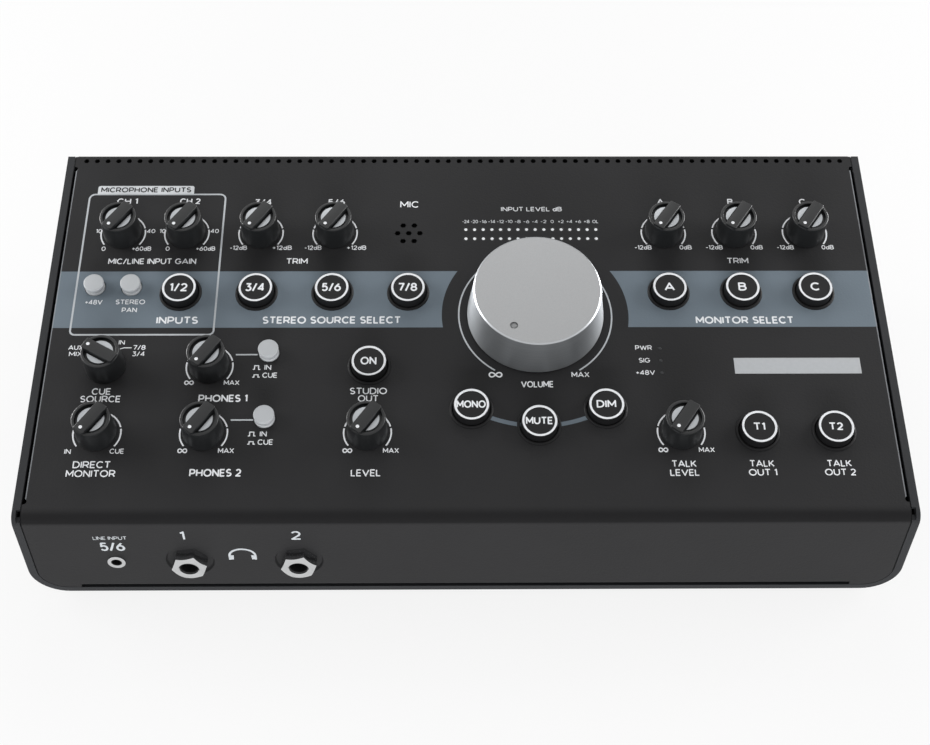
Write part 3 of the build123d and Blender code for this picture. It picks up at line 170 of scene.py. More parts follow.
class Finish:
    """A material that is built up from expressions."""

    def __init__(self, name):
        self.material = bpy.data.materials.new(name)
        self.material.use_nodes = True
        self.tree = self.material.node_tree
        self.tree.nodes.clear()
        self.output = self.tree.nodes.new("ShaderNodeOutputMaterial")

    def node(self, kind, settings=None, sockets=None, out=0):
        """Add a node, set it up, and fill or link its sockets."""
        made = self.tree.nodes.new("ShaderNode" + kind)
        for key, value in (settings or {}).items():
            setattr(made, key, value)
        for key, value in (sockets or {}).items():
            if isinstance(value, Wire):
                self.tree.links.new(value.socket, made.inputs[key])
            else:
                made.inputs[key].default_value = value
        return Wire(self, made.outputs[out])

    def position(self):
        """Where the point is on its own piece, in metres."""
        return self.node("TexCoord", out="Object")

    def split(self, vector):
        """The vector's three parts."""
        made = self.node("SeparateXYZ", sockets={"Vector": vector})
        return [Wire(self, made.socket.node.outputs[i]) for i in range(3)]

    def panel_place(self):
        """x, v and w of a point of a CAD piece: across, up the slope and off the panel."""
        x, y, z = self.split(self.position())
        back, up = y - Y_FRONT * MM, z - Z_FRONT_EDGE * MM
        return x, back * COS + up * SIN, up * COS - back * SIN

    def noise(self, scale, detail=2.0):
        """Soft random value of about 0 to 1; the scale counts its cells to the metre."""
        sockets = {"Vector": self.position(), "Scale": scale, "Detail": detail}
        return self.node("TexNoise", None, sockets)

    def mix(self, factor, first, second):
        """Colours mixed by a factor; index 6 and 7 are the node's colour sockets."""
        sockets = {0: factor, 6: first, 7: second}
        return self.node("Mix", {"data_type": "RGBA"}, sockets, out=2)

    def bump(self, height, distance):
        """Relief that is the distance in millimetres deep."""
        return self.node("Bump", None, {"Height": height, "Distance": distance * MM})

    def surface(self, sockets):
        """Finish the material with a Principled shader."""
        shader = self.node("BsdfPrincipled", None, sockets)
        self.tree.links.new(shader.socket, self.output.inputs["Surface"])
        return self.material


def rgb(red, green, blue):
    """Scene-linear colour of 8-bit display values."""
    levels = [level / 255 for level in (red, green, blue)]
    linear = [c / 12.92 if c <= 0.04045 else ((c + 0.055) / 1.055) ** 2.4 for c in levels]
    return (*linear, 1.0)


def shade(colour, share):
    """The same colour made darker or paler."""
    return tuple(min(1.0, level * share) for level in colour[:3]) + (1.0,)


# ---------------------------------------------------------------- finishes
PANEL_GREY = rgb(42, 42, 43)
# near black of the painted shade in the holes, the side seams and the front bend
SHADE_BLACK = rgb(10, 10, 11)
TRAY_GREY = rgb(45, 46, 48)
# pale grey of the painted highlight along the slot edges
SLOT_HIGHLIGHT_GREY = rgb(150, 153, 157)
BAND_GREY = rgb(109, 120, 129)
INK_WHITE = rgb(236, 238, 241)


PEEL_SCALE, PEEL_DETAIL = 1100.0, 3.0


def tray_coat():
    """The tray's baked powder paint: fine orange peel and slightly uneven gloss."""
    paint = Finish("tray_coat")
    cloud = paint.noise(45.0)
    return paint.surface(
        {
            "Base Color": paint.mix(cloud.ramp(0.35, 0.65), shade(TRAY_GREY, 0.93), TRAY_GREY),
            "Roughness": 0.5 + (cloud - 0.5) * 0.1,
            "Specular IOR Level": 0.15,
            "Normal": paint.bump(paint.noise(PEEL_SCALE, PEEL_DETAIL), 0.06),
        }
    )


COVER_HALF, SLOT_EDGE = 169.15, 168.15  # from the centre line
SLOT_START, SLOT_END = 8.0, 166.3  # up the slope
HOLES_START, HOLES_END = 8.0, 172.0
# where the front bend is darkened as painted shade, and how strongly
BEND_START, BEND_END, BEND_SHADE = -0.4, 4.0, 0.6
# widths of the painted shadow in the side seams and of the painted highlight by the slots
SEAM_SHADOW_WIDTH, SLOT_HIGHLIGHT_WIDTH = 0.3, 0.45
# the cut walls of the holes are painted near black as shade
HOLE_WALL = (-1.6, -0.15)  # heights between which the sheet's cut edges lie
CRISP = 0.08  # soft width of a crisp edge


def panel_coat():
    """The cover's paint with its blue-grey band, cut out round the volume knob.

    It is darker in the front bend, the side seams and the holes, where the shade is painted,
    and it has a painted highlight along the slots.
    """
    paint = Finish("panel_coat")
    x, v, w = paint.panel_place()
    across, along = x - VOLUME_X * MM, v - VOLUME_V * MM
    distance = (across * across + along * along) ** 0.5
    band = v.between(BAND_LOW, BAND_HIGH, CRISP, CRISP) * distance.above(BAND_CUT_RADIUS, CRISP)
    # painted shade: the walls of the holes go near black
    holes = w.between(*HOLE_WALL, 0.2, 0.1) * v.between(HOLES_START, HOLES_END, 1.0, 0.2)
    side = x.math("ABSOLUTE")
    # painted shadow: the cover's outermost strip at each side goes near black, for the shaded gap
    # to the tray
    seam_shadow = side.above(COVER_HALF - SEAM_SHADOW_WIDTH, CRISP)
    # painted shade: the front bend is darkened towards black by BEND_SHADE
    bend = v.between(BEND_START, BEND_END, 0.4, 4.0)
    # painted highlight: a pale line inside each side slot's edge, for light caught there, made
    # uneven by the cloud
    slot_highlight = side.between(SLOT_EDGE - SLOT_HIGHLIGHT_WIDTH, SLOT_EDGE, CRISP, CRISP)
    slot_highlight = slot_highlight * v.between(SLOT_START, SLOT_END, CRISP, CRISP)
    peel = paint.noise(PEEL_SCALE, PEEL_DETAIL)
    cloud = paint.noise(30.0)
    ground = paint.mix(cloud.ramp(0.35, 0.65), shade(PANEL_GREY, 0.94), PANEL_GREY)
    ground = paint.mix(slot_highlight * (0.2 + cloud * 0.9), paint.mix(band, ground, BAND_GREY), SLOT_HIGHLIGHT_GREY)
    # painted shade from the holes, the side seams and the front bend, mixed towards black
    dark = holes.math("MAXIMUM", seam_shadow).math("MAXIMUM", bend * BEND_SHADE)
    return paint.surface(
        {
            "Base Color": paint.mix(dark, ground, SHADE_BLACK),
            "Roughness": 0.5 + (cloud - 0.5) * 0.08,
            "Specular IOR Level": 0.1,
            "Normal": paint.bump(peel, 0.07),
        }
    )


def moulded(name, colour, roughness=0.55, grain=0.012, scale=1600.0, gloss=0.4):
    """Moulded plastic with spark-eroded texture."""
    plastic = Finish(name)
    texture = plastic.noise(scale)
    patch = plastic.noise(120.0)
    return plastic.surface(
        {
            "Base Color": plastic.mix(patch, colour, shade(colour, 1.08)),
            "Roughness": roughness + (patch - 0.5) * 0.08,
            "Specular IOR Level": gloss,
            "Normal": plastic.bump(texture, grain),
        }
    )


def plated(name, colour, roughness=0.22, grain=0.004, scale=420.0):
    """Nickel or zinc plate with faint handling marks."""
    metal = Finish(name)
    marks = metal.noise(scale, 3.0)
    return metal.surface(
        {
            "Base Color": metal.mix(marks, colour, shade(colour, 0.88)),
            "Metallic": 1.0,
            "Roughness": roughness + (marks - 0.5) * 0.12,
            "Normal": metal.bump(marks, grain),
        }
    )


def turned_aluminium():
    """Turned aluminium: fine rings round the side, which spread each reflection up and down."""
    metal = Finish("turned_aluminium")
    height = metal.split(metal.position())[2]
    rings = metal.node(
        "TexNoise", {"noise_dimensions": "1D"}, {"W": height, "Scale": 2500.0, "Detail": 3.0}
    )
    return metal.surface(
        {
            "Base Color": metal.mix(rings, rgb(138, 141, 144), rgb(166, 169, 172)),
            "Metallic": 1.0,
            "Roughness": 0.42 + (rings - 0.5) * 0.1,
            "Anisotropic": 0.85,
            "Anisotropic Rotation": 0.25,
            "Normal": metal.bump(rings, 0.05),
        }
    )


def blasted_aluminium():
    """Bead-blasted aluminium: fine even grit."""
    metal = Finish("blasted_aluminium")
    grit = metal.noise(3600.0)
    return metal.surface(
        {
            "Base Color": metal.mix(grit, rgb(142, 143, 144), rgb(158, 159, 160)),
            "Metallic": 1.0,
            "Roughness": 0.42 + (grit - 0.5) * 0.12,
            "Normal": metal.bump(grit, 0.006),
        }
    )


def laminate():
    """Circuit board: solder resist with copper tracks showing through as a faint weave."""
    board = Finish("circuit_laminate")
    tracks = board.node(
        "TexBrick",
        {"offset": 0.5},
        {
            "Vector": board.position(),
            "Scale": 130.0,
            "Mortar Size": 0.03,
            "Color1": rgb(18, 74, 44),
            "Color2": rgb(22, 84, 50),
            "Mortar": rgb(44, 116, 72),
        },
    )
    return board.surface({"Base Color": tracks, "Roughness": 0.35})


def ink(name, colour):
    """Screen print, slightly uneven in its cover."""
    print_ink = Finish(name)
    cover = print_ink.noise(700.0)
    return print_ink.surface(
        {
            "Base Color": print_ink.mix(cover, shade(colour, 0.9), colour),
            "Roughness": 0.5 + cover * 0.1,
            "Specular IOR Level": 0.2,
        }
    )


FINISHES = {
    "panel": panel_coat(),
    "tray": tray_coat(),
    "dish_black": moulded("dish_black", rgb(14, 14, 15), 0.5),
    "knob": moulded("knob_plastic", rgb(22, 23, 24), 0.4, gloss=0.4),
    "cap": moulded("cap_plastic", rgb(20, 20, 21), 0.45, gloss=0.2),
    "bezel": moulded("bezel_plastic", rgb(17, 17, 18), 0.55, gloss=0.2),
    "black": moulded("black_plastic", rgb(26, 26, 27), 0.5),
    "gloss_black": moulded("gloss_black", rgb(20, 20, 21), 0.18, 0.002),
    "light": moulded("light_plastic", rgb(174, 177, 180), 0.5, 0.008),
    "silver": plated("silver_inlay", rgb(170, 173, 176), 0.42, 0.02, 1500.0),
    "nickel": plated("nickel_plate", rgb(206, 207, 208), 0.18),
    "steel": plated("pressed_steel", rgb(160, 162, 164), 0.35),
    "screw": plated("black_zinc", rgb(70, 71, 73), 0.35),
    "brass": plated("brass_hardware", rgb(190, 160, 96), 0.3),
    "turned": turned_aluminium(),
    "blasted": blasted_aluminium(),
    "bright_cut": plated("bright_cut", rgb(186, 189, 192), 0.34),
    "board": laminate(),
    "lamp": moulded("lamp_lens", rgb(238, 240, 242), 0.3, 0.002),
    "dark_lamp": moulded("dark_lamp_lens", rgb(40, 42, 44), 0.3, 0.002),
    "sheath": moulded("cable_sheath", rgb(120, 122, 126), 0.6),
    "rubber": moulded("foot_rubber", rgb(22, 22, 22), 0.85, 0.03, 900.0),
    "white": ink("white_ink", INK_WHITE),
    "pale": ink("pale_ink", rgb(182, 185, 188)),
    "tab_ink": ink("tab_ink", rgb(220, 223, 226)),
    "line_ink": ink("line_ink", rgb(190, 194, 198)),
    "faint_ink": ink("faint_ink", rgb(206, 209, 212)),
    "band_ink": ink("band_ink", BAND_GREY),
    "dark_ink": ink("dark_ink", rgb(30, 31, 33)),
}


# ---------------------------------------------------------------- mesh helpers
SAME_PLACE = 1e-3  # millimetres between corners that are one
SHARP_EDGE = math.radians(32.0)


def new_mesh(name, shape):
    """Mesh data in metres from a bmesh in millimetres, smooth except at sharp edges."""
    bmesh.ops.remove_doubles(shape, verts=shape.verts, dist=SAME_PLACE)
    bmesh.ops.recalc_face_normals(shape, faces=shape.faces)
    shape.transform(Matrix.Scale(MM, 4))
    made = bpy.data.meshes.new(name)
    shape.to_mesh(made)
    shape.free()
    made.polygons.foreach_set("use_smooth", [True] * len(made.polygons))
    made.set_sharp_from_angle(angle=SHARP_EDGE)
    return made


def piece(name, mesh, finish, body, slot, where, replaces=()):
    """Add a mesh to the scene as one piece that rides on a body."""
    made = bpy.data.objects.new(name, mesh)
    bpy.context.scene.collection.objects.link(made)
    if not mesh.materials:
        mesh.materials.append(FINISHES[finish])
    made.matrix_world = where
    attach(made, body)
    if replaces:
        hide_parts(*replaces)


def softened(profile, radii, steps=4):
    """A polyline with its corners rounded; radii is a corner's radius by its index."""
    made = []
    for index, corner in enumerate(profile):
        radius = radii.get(index, 0.0)
        here = Vector(corner)
        if radius <= 0:
            made.append(here)
            continue
        back = (Vector(profile[index - 1]) - here).normalized()
        ahead = (Vector(profile[(index + 1) % len(profile)]) - here).normalized()
        half = back.angle(ahead) / 2
        reach = radius / math.tan(half)
        middle = here + (back + ahead).normalized() * (radius / math.sin(half))
        start, end = here + back * reach - middle, here + ahead * reach - middle
        sweep = start.angle_signed(end)
        for step in range(steps + 1):
            turned = start.copy()
            turned.rotate(Matrix.Rotation(-sweep * step / steps, 2))
            made.append(middle + turned)
    return made


def rings_to_faces(shape, rings):
    """Join rings of vertices, one after the other; a ring of one vertex is a tip."""
    for lower, upper in zip(rings, rings[1:]):
        count = max(len(lower), len(upper))
        for step in range(count):
            ahead = (step + 1) % count
            corners = [lower[step % len(lower)], lower[ahead % len(lower)]]
            corners += [upper[ahead % len(upper)], upper[step % len(upper)]]
            corners = list(dict.fromkeys(corners))
            if len(corners) > 2:
                shape.faces.new(corners)


def lathe(profile, segments=64):
    """Turn (radius, height) points about Z."""
    shape = bmesh.new()
    angles = [2 * math.pi * step / segments for step in range(segments)]
    rings = []
    for radius, height in profile:
        spots = angles if radius > 1e-6 else [0.0]
        rings.append(
            [shape.verts.new((radius * math.cos(a), radius * math.sin(a), height)) for a in spots]
        )
    rings_to_faces(shape, rings)
    return shape


def closed_lathe(profile, segments=64):
    """Turn a closed outline that doesn't reach the axis."""
    return lathe([*profile, profile[0]], segments)


def joined(shape, *others):
    """Add other bmeshes to the first and free them."""
    for other in others:
        carrier = bpy.data.meshes.new("carrier")
        other.to_mesh(carrier)
        other.free()
        shape.from_mesh(carrier)
        bpy.data.meshes.remove(carrier)
    return shape


def moved(shape, x, y, height=0.0):
    """The same bmesh, shifted."""
    shape.transform(Matrix.Translation((x, y, height)))
    return shape


def flat_area(outlines, holes=()):
    """Triangles that cover any of the outlines and none of the holes: points, faces.

    Places are rounded, because points that nearly meet make the triangulation fill too much.
    """
    points, loops = [], []
    for outline in [*outlines, *holes]:
        loops.append(list(range(len(points), len(points) + len(outline))))
        points.extend(Vector((round(x, 3), round(y, 3))) for x, y in outline)
    points, _, faces, _, _, owners = delaunay_2d_cdt(points, [], loops, 0, 1e-4, True)
    solid = range(len(outlines))
    kept = [
        face
        for face, owned in zip(faces, owners)
        if owned and all(owner in solid for owner in owned)
    ]
    return points, kept


def slab(outlines, low, high, holes=(), bevel=0.0):
    """Raise flat outlines between two heights; those that overlap become one."""
    shape = bmesh.new()
    points, faces = flat_area(outlines, holes)
    lower = [shape.verts.new((*p, low)) for p in points]
    upper = [shape.verts.new((*p, high)) for p in points]
    walls = {}
    for face in faces:
        for here, ahead in zip(face, [*face[1:], face[0]]):
            if (ahead, here) in walls:
                del walls[ahead, here]
            else:
                walls[here, ahead] = True
        shape.faces.new([lower[i] for i in reversed(face)])
        shape.faces.new([upper[i] for i in face])
    for here, ahead in walls:
        shape.faces.new((lower[here], lower[ahead], upper[ahead], upper[here]))
    loose = [vert for vert in shape.verts if not vert.link_faces]
    bmesh.ops.delete(shape, geom=loose, context="VERTS")
    if bevel:
        rim = [
            edge
            for edge in shape.edges
            if all(vert.co.z == high for vert in edge.verts) and edge.calc_face_angle(0) > 1
        ]
        bmesh.ops.bevel(
            shape, geom=rim, offset=bevel, segments=3, profile=0.6, affect="EDGES"
        )
    return shape


def ring_points(radius, start=0.0, end=360.0, count=48, centre=(0.0, 0.0)):
    """Points on an arc, in degrees counted anticlockwise from +x."""
    angles = [math.radians(start + (end - start) * i / count) for i in range(count + 1)]
    return [(centre[0] + radius * math.cos(a), centre[1] + radius * math.sin(a)) for a in angles]


# ---------------------------------------------------------------- print
INK_LOW, INK_HIGH = -0.01, 0.03  # print reaches just into the paint and stands just proud
SHARP_TURN = math.radians(35.0)


def stroke(points, width):
    """Outlines of a printed line along points: one to each step, a dot on each sharp turn."""
    path = [Vector(p) for p in points]
    closed = (path[0] - path[-1]).length < 1e-6
    if closed:
        path.pop()
    count = len(path)
    steps = range(count if closed else count - 1)
    ways = [(path[(i + 1) % count] - path[i]).normalized() for i in steps]
    outlines = []
    for i in steps:
        corners = []
        for spot, neighbour, side in ((path[i], i - 1, 1), (path[(i + 1) % count], i + 1, -1)):
            along = ways[i]
            if closed or 0 <= neighbour < len(ways):
                other = ways[neighbour % len(ways)]
                if along.angle(other) < SHARP_TURN:
                    along = (along + other).normalized()
                elif side > 0:
                    outlines.append(ring_points(width / 2, count=8, centre=spot)[:-1])
            across = Vector((-along.y, along.x)) * (width / 2 / along.dot(ways[i]) * side)
            corners += [spot + across, spot - across]
        outlines.append(corners)
    return outlines


def bow(x, y, wide, high, start, end, steps=8):
    """Points on part of an ellipse, in degrees anticlockwise from the right."""
    turns = [math.radians(start + (end - start) * i / steps) for i in range(steps + 1)]
    return [(x + wide * math.cos(a), y + high * math.sin(a)) for a in turns]


def full(x, y, wide, high):
    """A whole ellipse."""
    points = bow(x, y, wide, high, 90, 450, 16)
    return [*points[:-1], points[0]]


# a letter's width against the capitals' height, and its lines in a box of 1 by 1
LETTERS = {
    " ": (0.16, ()),
    "A": (0.86, ([(0, 0), (0.5, 1), (1, 0)], [(0.17, 0.3), (0.83, 0.3)])),
    "B": (0.62, (
        [(0, 0), (0, 1), *bow(0.55, 0.77, 0.37, 0.23, 90, -90, 6), (0, 0.54)],
        [(0.5, 0.54), *bow(0.58, 0.27, 0.42, 0.27, 90, -90, 6), (0, 0)],
    )),
    "C": (0.74, (bow(0.56, 0.5, 0.56, 0.5, 45, 315, 12),)),
    "D": (0.74, ([(0, 0), (0, 1), *bow(0.42, 0.5, 0.58, 0.5, 90, -90, 8), (0, 0), (0, 0.2)],)),
    "E": (0.54, ([(1, 1), (0, 1), (0, 0), (1, 0)], [(0, 0.5), (0.9, 0.5)])),
    "G": (0.84, ([*bow(0.5, 0.5, 0.5, 0.5, 42, 345, 12), (1, 0.46), (0.6, 0.46)],)),
    "H": (0.7, ([(0, 0), (0, 1)], [(1, 0), (1, 1)], [(0, 0.5), (1, 0.5)])),
    "I": (0.0, ([(0.5, 0), (0.5, 1)],)),
    "K": (0.66, ([(0, 0), (0, 1)], [(0.95, 1), (0, 0.36)], [(0.32, 0.58), (1, 0)])),
    "L": (0.5, ([(0, 1), (0, 0), (1, 0)],)),
    "M": (0.84, ([(0, 0), (0, 1), (0.5, 0.28), (1, 1), (1, 0)],)),
    "N": (0.72, ([(0, 0), (0, 1), (1, 0), (1, 1)],)),
    "O": (0.9, (full(0.5, 0.5, 0.5, 0.5),)),
    "P": (0.62, ([(0, 0), (0, 1), *bow(0.58, 0.7, 0.42, 0.3, 90, -90, 6), (0, 0.4)],)),
    "R": (0.66, (
        [(0, 0), (0, 1), *bow(0.58, 0.71, 0.4, 0.29, 90, -90, 6), (0, 0.42)],
        [(0.55, 0.42), (1, 0)],
    )),
    "S": (0.58, (
        [*bow(0.5, 0.75, 0.46, 0.25, 35, 270, 8), *bow(0.5, 0.25, 0.5, 0.25, 90, -145, 8)[1:]],
    )),
    "T": (0.66, ([(0, 1), (1, 1)], [(0.5, 1), (0.5, 0)])),
    "U": (0.7, ([(0, 1), *bow(0.5, 0.38, 0.5, 0.38, 180, 360), (1, 1)],)),
    "V": (0.82, ([(0, 1), (0.5, 0), (1, 1)],)),
    "W": (1.15, ([(0, 1), (0.26, 0), (0.5, 0.9), (0.74, 0), (1, 1)],)),
    "X": (0.7, ([(0, 1), (1, 0)], [(0, 0), (1, 1)])),
    "d": (0.56, (full(0.45, 0.32, 0.45, 0.32), [(1, 0), (1, 1)])),
    "0": (0.64, (full(0.5, 0.5, 0.5, 0.5),)),
    "1": (0.2, ([(0, 0.84), (1, 1), (1, 0)],)),
    "2": (0.58, ([*bow(0.48, 0.7, 0.46, 0.3, 160, -35), (0, 0), (1, 0)],)),
    "3": (0.58, ([(0.05, 1), (0.92, 1), (0.46, 0.6), *bow(0.46, 0.3, 0.54, 0.3, 80, -150)],)),
    "4": (0.66, ([(0.74, 0), (0.74, 1), (0, 0.25), (1, 0.25)],)),
    "5": (0.58, ([(0.9, 1), (0.16, 1), *bow(0.45, 0.32, 0.52, 0.32, 135, -150, 10)],)),
    "6": (0.62, ([(0.74, 1), (0.1, 0.52)], full(0.5, 0.32, 0.5, 0.32))),
    "7": (0.6, ([(0, 1), (1, 1), (0.36, 0)],)),
    "8": (0.62, (full(0.5, 0.76, 0.42, 0.24), full(0.5, 0.26, 0.5, 0.26))),
    "9": (0.62, ([(0.26, 0), (0.9, 0.48)], full(0.5, 0.68, 0.5, 0.32))),
    "+": (0.5, ([(0, 0.46), (1, 0.46)], [(0.5, 0.18), (0.5, 0.74)])),
    "-": (0.34, ([(0, 0.42), (1, 0.42)],)),
    "/": (0.42, ([(0, -0.06), (1, 1.06)],)),
}
LETTER_GAP = 0.09  # between letters, against the capitals' height


def lettering(text, x, y, capitals, width=None, weight=0.16):
    """Outlines of words centred on a spot; the line's weight is a share of the capitals."""
    line = capitals * weight
    rise = capitals - line
    boxes = [LETTERS[mark][0] * capitals + line for mark in text]
    natural = sum(boxes) + LETTER_GAP * capitals * (len(text) - 1)
    stretch = ((width or natural) - line) / (natural - line)
    left = x - (natural - line) / 2 * stretch
    outlines = []
    for mark, box in zip(text, boxes):
        across = (box - line) * stretch
        for path in LETTERS[mark][1]:
            spots = [(left + px * across, y - rise / 2 + py * rise) for px, py in path]
            outlines += stroke(spots, line)
        left += (box + LETTER_GAP * capitals) * stretch
    return outlines


EIGHT_STEPS, EIGHT_RISE = 40, 2.83  # the rise brings the curve's height to 1


def lying_eight(x, y, width, height, line):
    """Outlines of an infinity sign."""
    points = []
    for step in range(EIGHT_STEPS + 1):
        t = 2 * math.pi * (step % EIGHT_STEPS) / EIGHT_STEPS
        shrink = 1 + math.sin(t) ** 2
        rise = EIGHT_RISE * math.sin(t) * math.cos(t) / shrink
        across = x + (width - line) / 2 * math.cos(t) / shrink
        points.append((across, y + (height - line) / 2 * rise))
    return stroke(points, line)


def printed(name, outlines, finish="white", surface=PANEL, low=INK_LOW, high=INK_HIGH):
    """Print on the housing, as one layer of ink."""
    mesh = new_mesh(name, slab(outlines, low, high))
    piece(name, mesh, finish, "housing", "panel_paint", surface)


# ---------------------------------------------------------------- knobs
KNOB_TOP, KNOB_WELL, GRIP_TOP = 12.3, 10.8, 13.5
KNOB_RIM_INNER = 6.3
INLAY_RADIUS, INLAY_INNER, INLAY_TOP = 5.2, 3.0, 11.5
GRIP_HALF, GRIP_REACH, GRIP_CORNER = 2.4, 7.2, 0.6
POINTER_DOT = 5.3  # from the axis


def knob_mesh():
    """Hollow skirt on its spindle, with a grip bar across the sunken top."""
    spindle = [(0, -6.6), (3.0, -6.6), (3.0, 1.4)]
    hollow = [(4.6, 1.4), (4.6, 6.0), (5.9, 6.0), (6.8, 0.4)]
    side = [(8.05, 0.4), (7.88, 3.0), (7.72, 6.5), (7.6, 9.5), (7.5, KNOB_TOP)]
    well = [(KNOB_RIM_INNER, KNOB_TOP), (KNOB_RIM_INNER - 0.1, KNOB_WELL), (0, KNOB_WELL)]
    profile = softened([*spindle, *hollow, *side, *well], {7: 0.18, 11: 0.4, 12: 0.25})
    outline = [
        (-GRIP_HALF, -GRIP_REACH),
        (GRIP_HALF, -GRIP_REACH),
        (GRIP_HALF, GRIP_REACH),
        (-GRIP_HALF, GRIP_REACH),
    ]
    outline = softened(outline, dict.fromkeys(range(4), GRIP_CORNER))
    grip = slab([outline], KNOB_WELL - 0.3, GRIP_TOP, bevel=0.4)
    return new_mesh("knob", joined(lathe(profile, 72), grip))


def inlay_mesh():
    """Two silver segments of a disc, one on either side of the grip bar."""
    limit = math.degrees(math.acos(INLAY_INNER / INLAY_RADIUS))
    sides = [ring_points(INLAY_RADIUS, side - limit, side + limit, 28) for side in (0, 180)]
    return new_mesh("knob_inlay", slab(sides, KNOB_WELL - 0.05, INLAY_TOP, bevel=0.12))


def dot_mesh():
    """White dot on the grip bar, the knob's pointer."""
    dome = [(0, -0.1), (0.7, -0.1), (0.7, 0.02), (0.5, 0.1), (0, 0.12)]
    return new_mesh("pointer_dot", lathe(dome, 24))


knob_body, knob_inlay, pointer_dot = knob_mesh(), inlay_mesh(), dot_mesh()
for name, (x, v, turn) in KNOBS.items():
    where = place(PANEL, x, v, turn)
    piece(name + "_moulding", knob_body, "knob", name, "knob_plastic", where, [name])
    piece(name + "_inlay", knob_inlay, "silver", name, "knob_plastic", where)
    dot_place = where @ Matrix.Translation(Vector((0, POINTER_DOT, GRIP_TOP)) * MM)
    piece(name + "_dot", pointer_dot, "white", name, "knob_plastic", dot_place)

# ---------------------------------------------------------------- volume knob
VOLUME_TOP, VOLUME_RIM, VOLUME_SEGMENTS = 19.0, 25.1, 180
VOLUME_SHOULDER = (25.62, VOLUME_TOP - 0.45)  # where the side ends and the bright edge starts
DIMPLE_REACH, DIMPLE_RADIUS = 19.5, 1.6
DIMPLE_BOWL = ((1.0, 0.0), (0.97, 0.4), (0.87, 0.78), (0.7, 1.12), (0.4, 1.42), (0.0, 1.55))


def volume_side_mesh():
    """Hollow turned knob without the edge and the face."""
    profile = [(0, 16.0), (22.9, 16.0), (24.7, 0.8), (27.9, 0.8), VOLUME_SHOULDER]
    body = lathe(softened(profile, {3: 0.25}), VOLUME_SEGMENTS)
    boss = lathe([(0, 1.8), (8.0, 1.8), (8.0, 16.1), (0, 16.1)], 48)
    return new_mesh("volume_cap", joined(body, boss))


def volume_face_mesh():
    """Flat face with a round dimple sunk into it as the pointer."""
    centre = (0, DIMPLE_REACH)
    rim = ring_points(VOLUME_RIM, count=VOLUME_SEGMENTS)[:-1]
    mouth = ring_points(DIMPLE_RADIUS, count=32, centre=centre)[:-1]
    points, faces = flat_area([rim], [mouth])
    top = bmesh.new()
    spots = [top.verts.new((*p, VOLUME_TOP)) for p in points]
    for face in faces:
        top.faces.new([spots[i] for i in face])
    bowl = lathe([(share * DIMPLE_RADIUS, VOLUME_TOP - deep) for share, deep in DIMPLE_BOWL], 32)
    return new_mesh("volume_face", joined(top, moved(bowl, *centre)))


def volume_edge_mesh():
    """The bright-cut edge between the side and the face."""
    ring = lathe([VOLUME_SHOULDER, (VOLUME_RIM, VOLUME_TOP)], VOLUME_SEGMENTS)
    return new_mesh("volume_chamfer", ring)


volume_place = place(PANEL, VOLUME_X, VOLUME_V, VOLUME_TURN)
VOLUME_PIECE = ("volume_knob", "turned_aluminium", volume_place)
piece("volume_cap", volume_side_mesh(), "turned", *VOLUME_PIECE, ["volume_knob"])
piece("volume_face", volume_face_mesh(), "blasted", *VOLUME_PIECE)
piece("volume_chamfer", volume_edge_mesh(), "bright_cut", *VOLUME_PIECE)

# ---------------------------------------------------------------- buttons
CAP_TOP, CAP_FACE, CAP_SEGMENTS = 4.5, 4.38, 72
LIGHT_RING_OUTER, LIGHT_RING_INNER = 6.86, 5.98
GROOVE_FLOOR, GROOVE_PLAY = CAP_TOP - 0.25, 0.02  # of the groove that holds the light ring
LEGEND_X = -0.15
BEZEL_BORE, BEZEL_TOP = 7.6, 0.7


def cap_mesh():
    """Round push cap on its stem, with a groove for the light ring."""
    outer, inner = LIGHT_RING_OUTER + GROOVE_PLAY, LIGHT_RING_INNER - GROOVE_PLAY
    stem = [(0, -7.6), (1.6, -7.6), (1.6, 2.9)]
    inside = [(5.75, 2.9), (6.1, -4.6)]
    clip = [(8.0, -4.6), (8.0, -3.7), (7.3, -3.7)]
    wall = [(7.3, 0), (7.05, CAP_TOP), (outer, CAP_TOP)]
    groove = [(outer, GROOVE_FLOOR), (inner, GROOVE_FLOOR), (inner, CAP_FACE), (0, CAP_FACE)]
    profile = softened([*stem, *inside, *clip, *wall, *groove], {9: 0.16})
    return new_mesh("button_cap", lathe(profile, CAP_SEGMENTS))


def light_ring_mesh():
    """Ring of light that stands just proud of its cap."""
    top = CAP_TOP + 0.04
    low = [(LIGHT_RING_INNER, GROOVE_FLOOR), (LIGHT_RING_OUTER, GROOVE_FLOOR)]
    high = [(LIGHT_RING_OUTER, top), (LIGHT_RING_INNER, top)]
    profile = softened([*low, *high], {2: 0.12, 3: 0.12})
    return new_mesh("light_ring", closed_lathe(profile, CAP_SEGMENTS))


def bezel_shape():
    """Dark ring let into the panel round a cap."""
    sleeve = [(BEZEL_BORE, -3.4), (8.45, -3.4), (8.45, 0.0)]
    flange = [(8.75, 0.0), (8.65, 0.35), (8.3, BEZEL_TOP), (7.75, BEZEL_TOP), (BEZEL_BORE, 0.5)]
    return closed_lathe(softened([*sleeve, *flange], {4: 0.2, 5: 0.15}), CAP_SEGMENTS)


def push_cap_mesh():
    """Small button: a disc on a neck that stands on a wider collar."""
    stem = [(0, -5.0), (1.6, -5.0), (1.6, -1.0)]
    collar = [(4.05, -1.0), (4.05, 1.0), (2.9, 1.0)]
    disc = [(2.9, 2.7), (4.1, 2.7), (4.1, 3.9), (0, 3.9)]
    profile = softened([*stem, *collar, *disc], {4: 0.25, 5: 0.1, 7: 0.15, 8: 0.45})
    return new_mesh("push_cap", lathe(profile, 56))


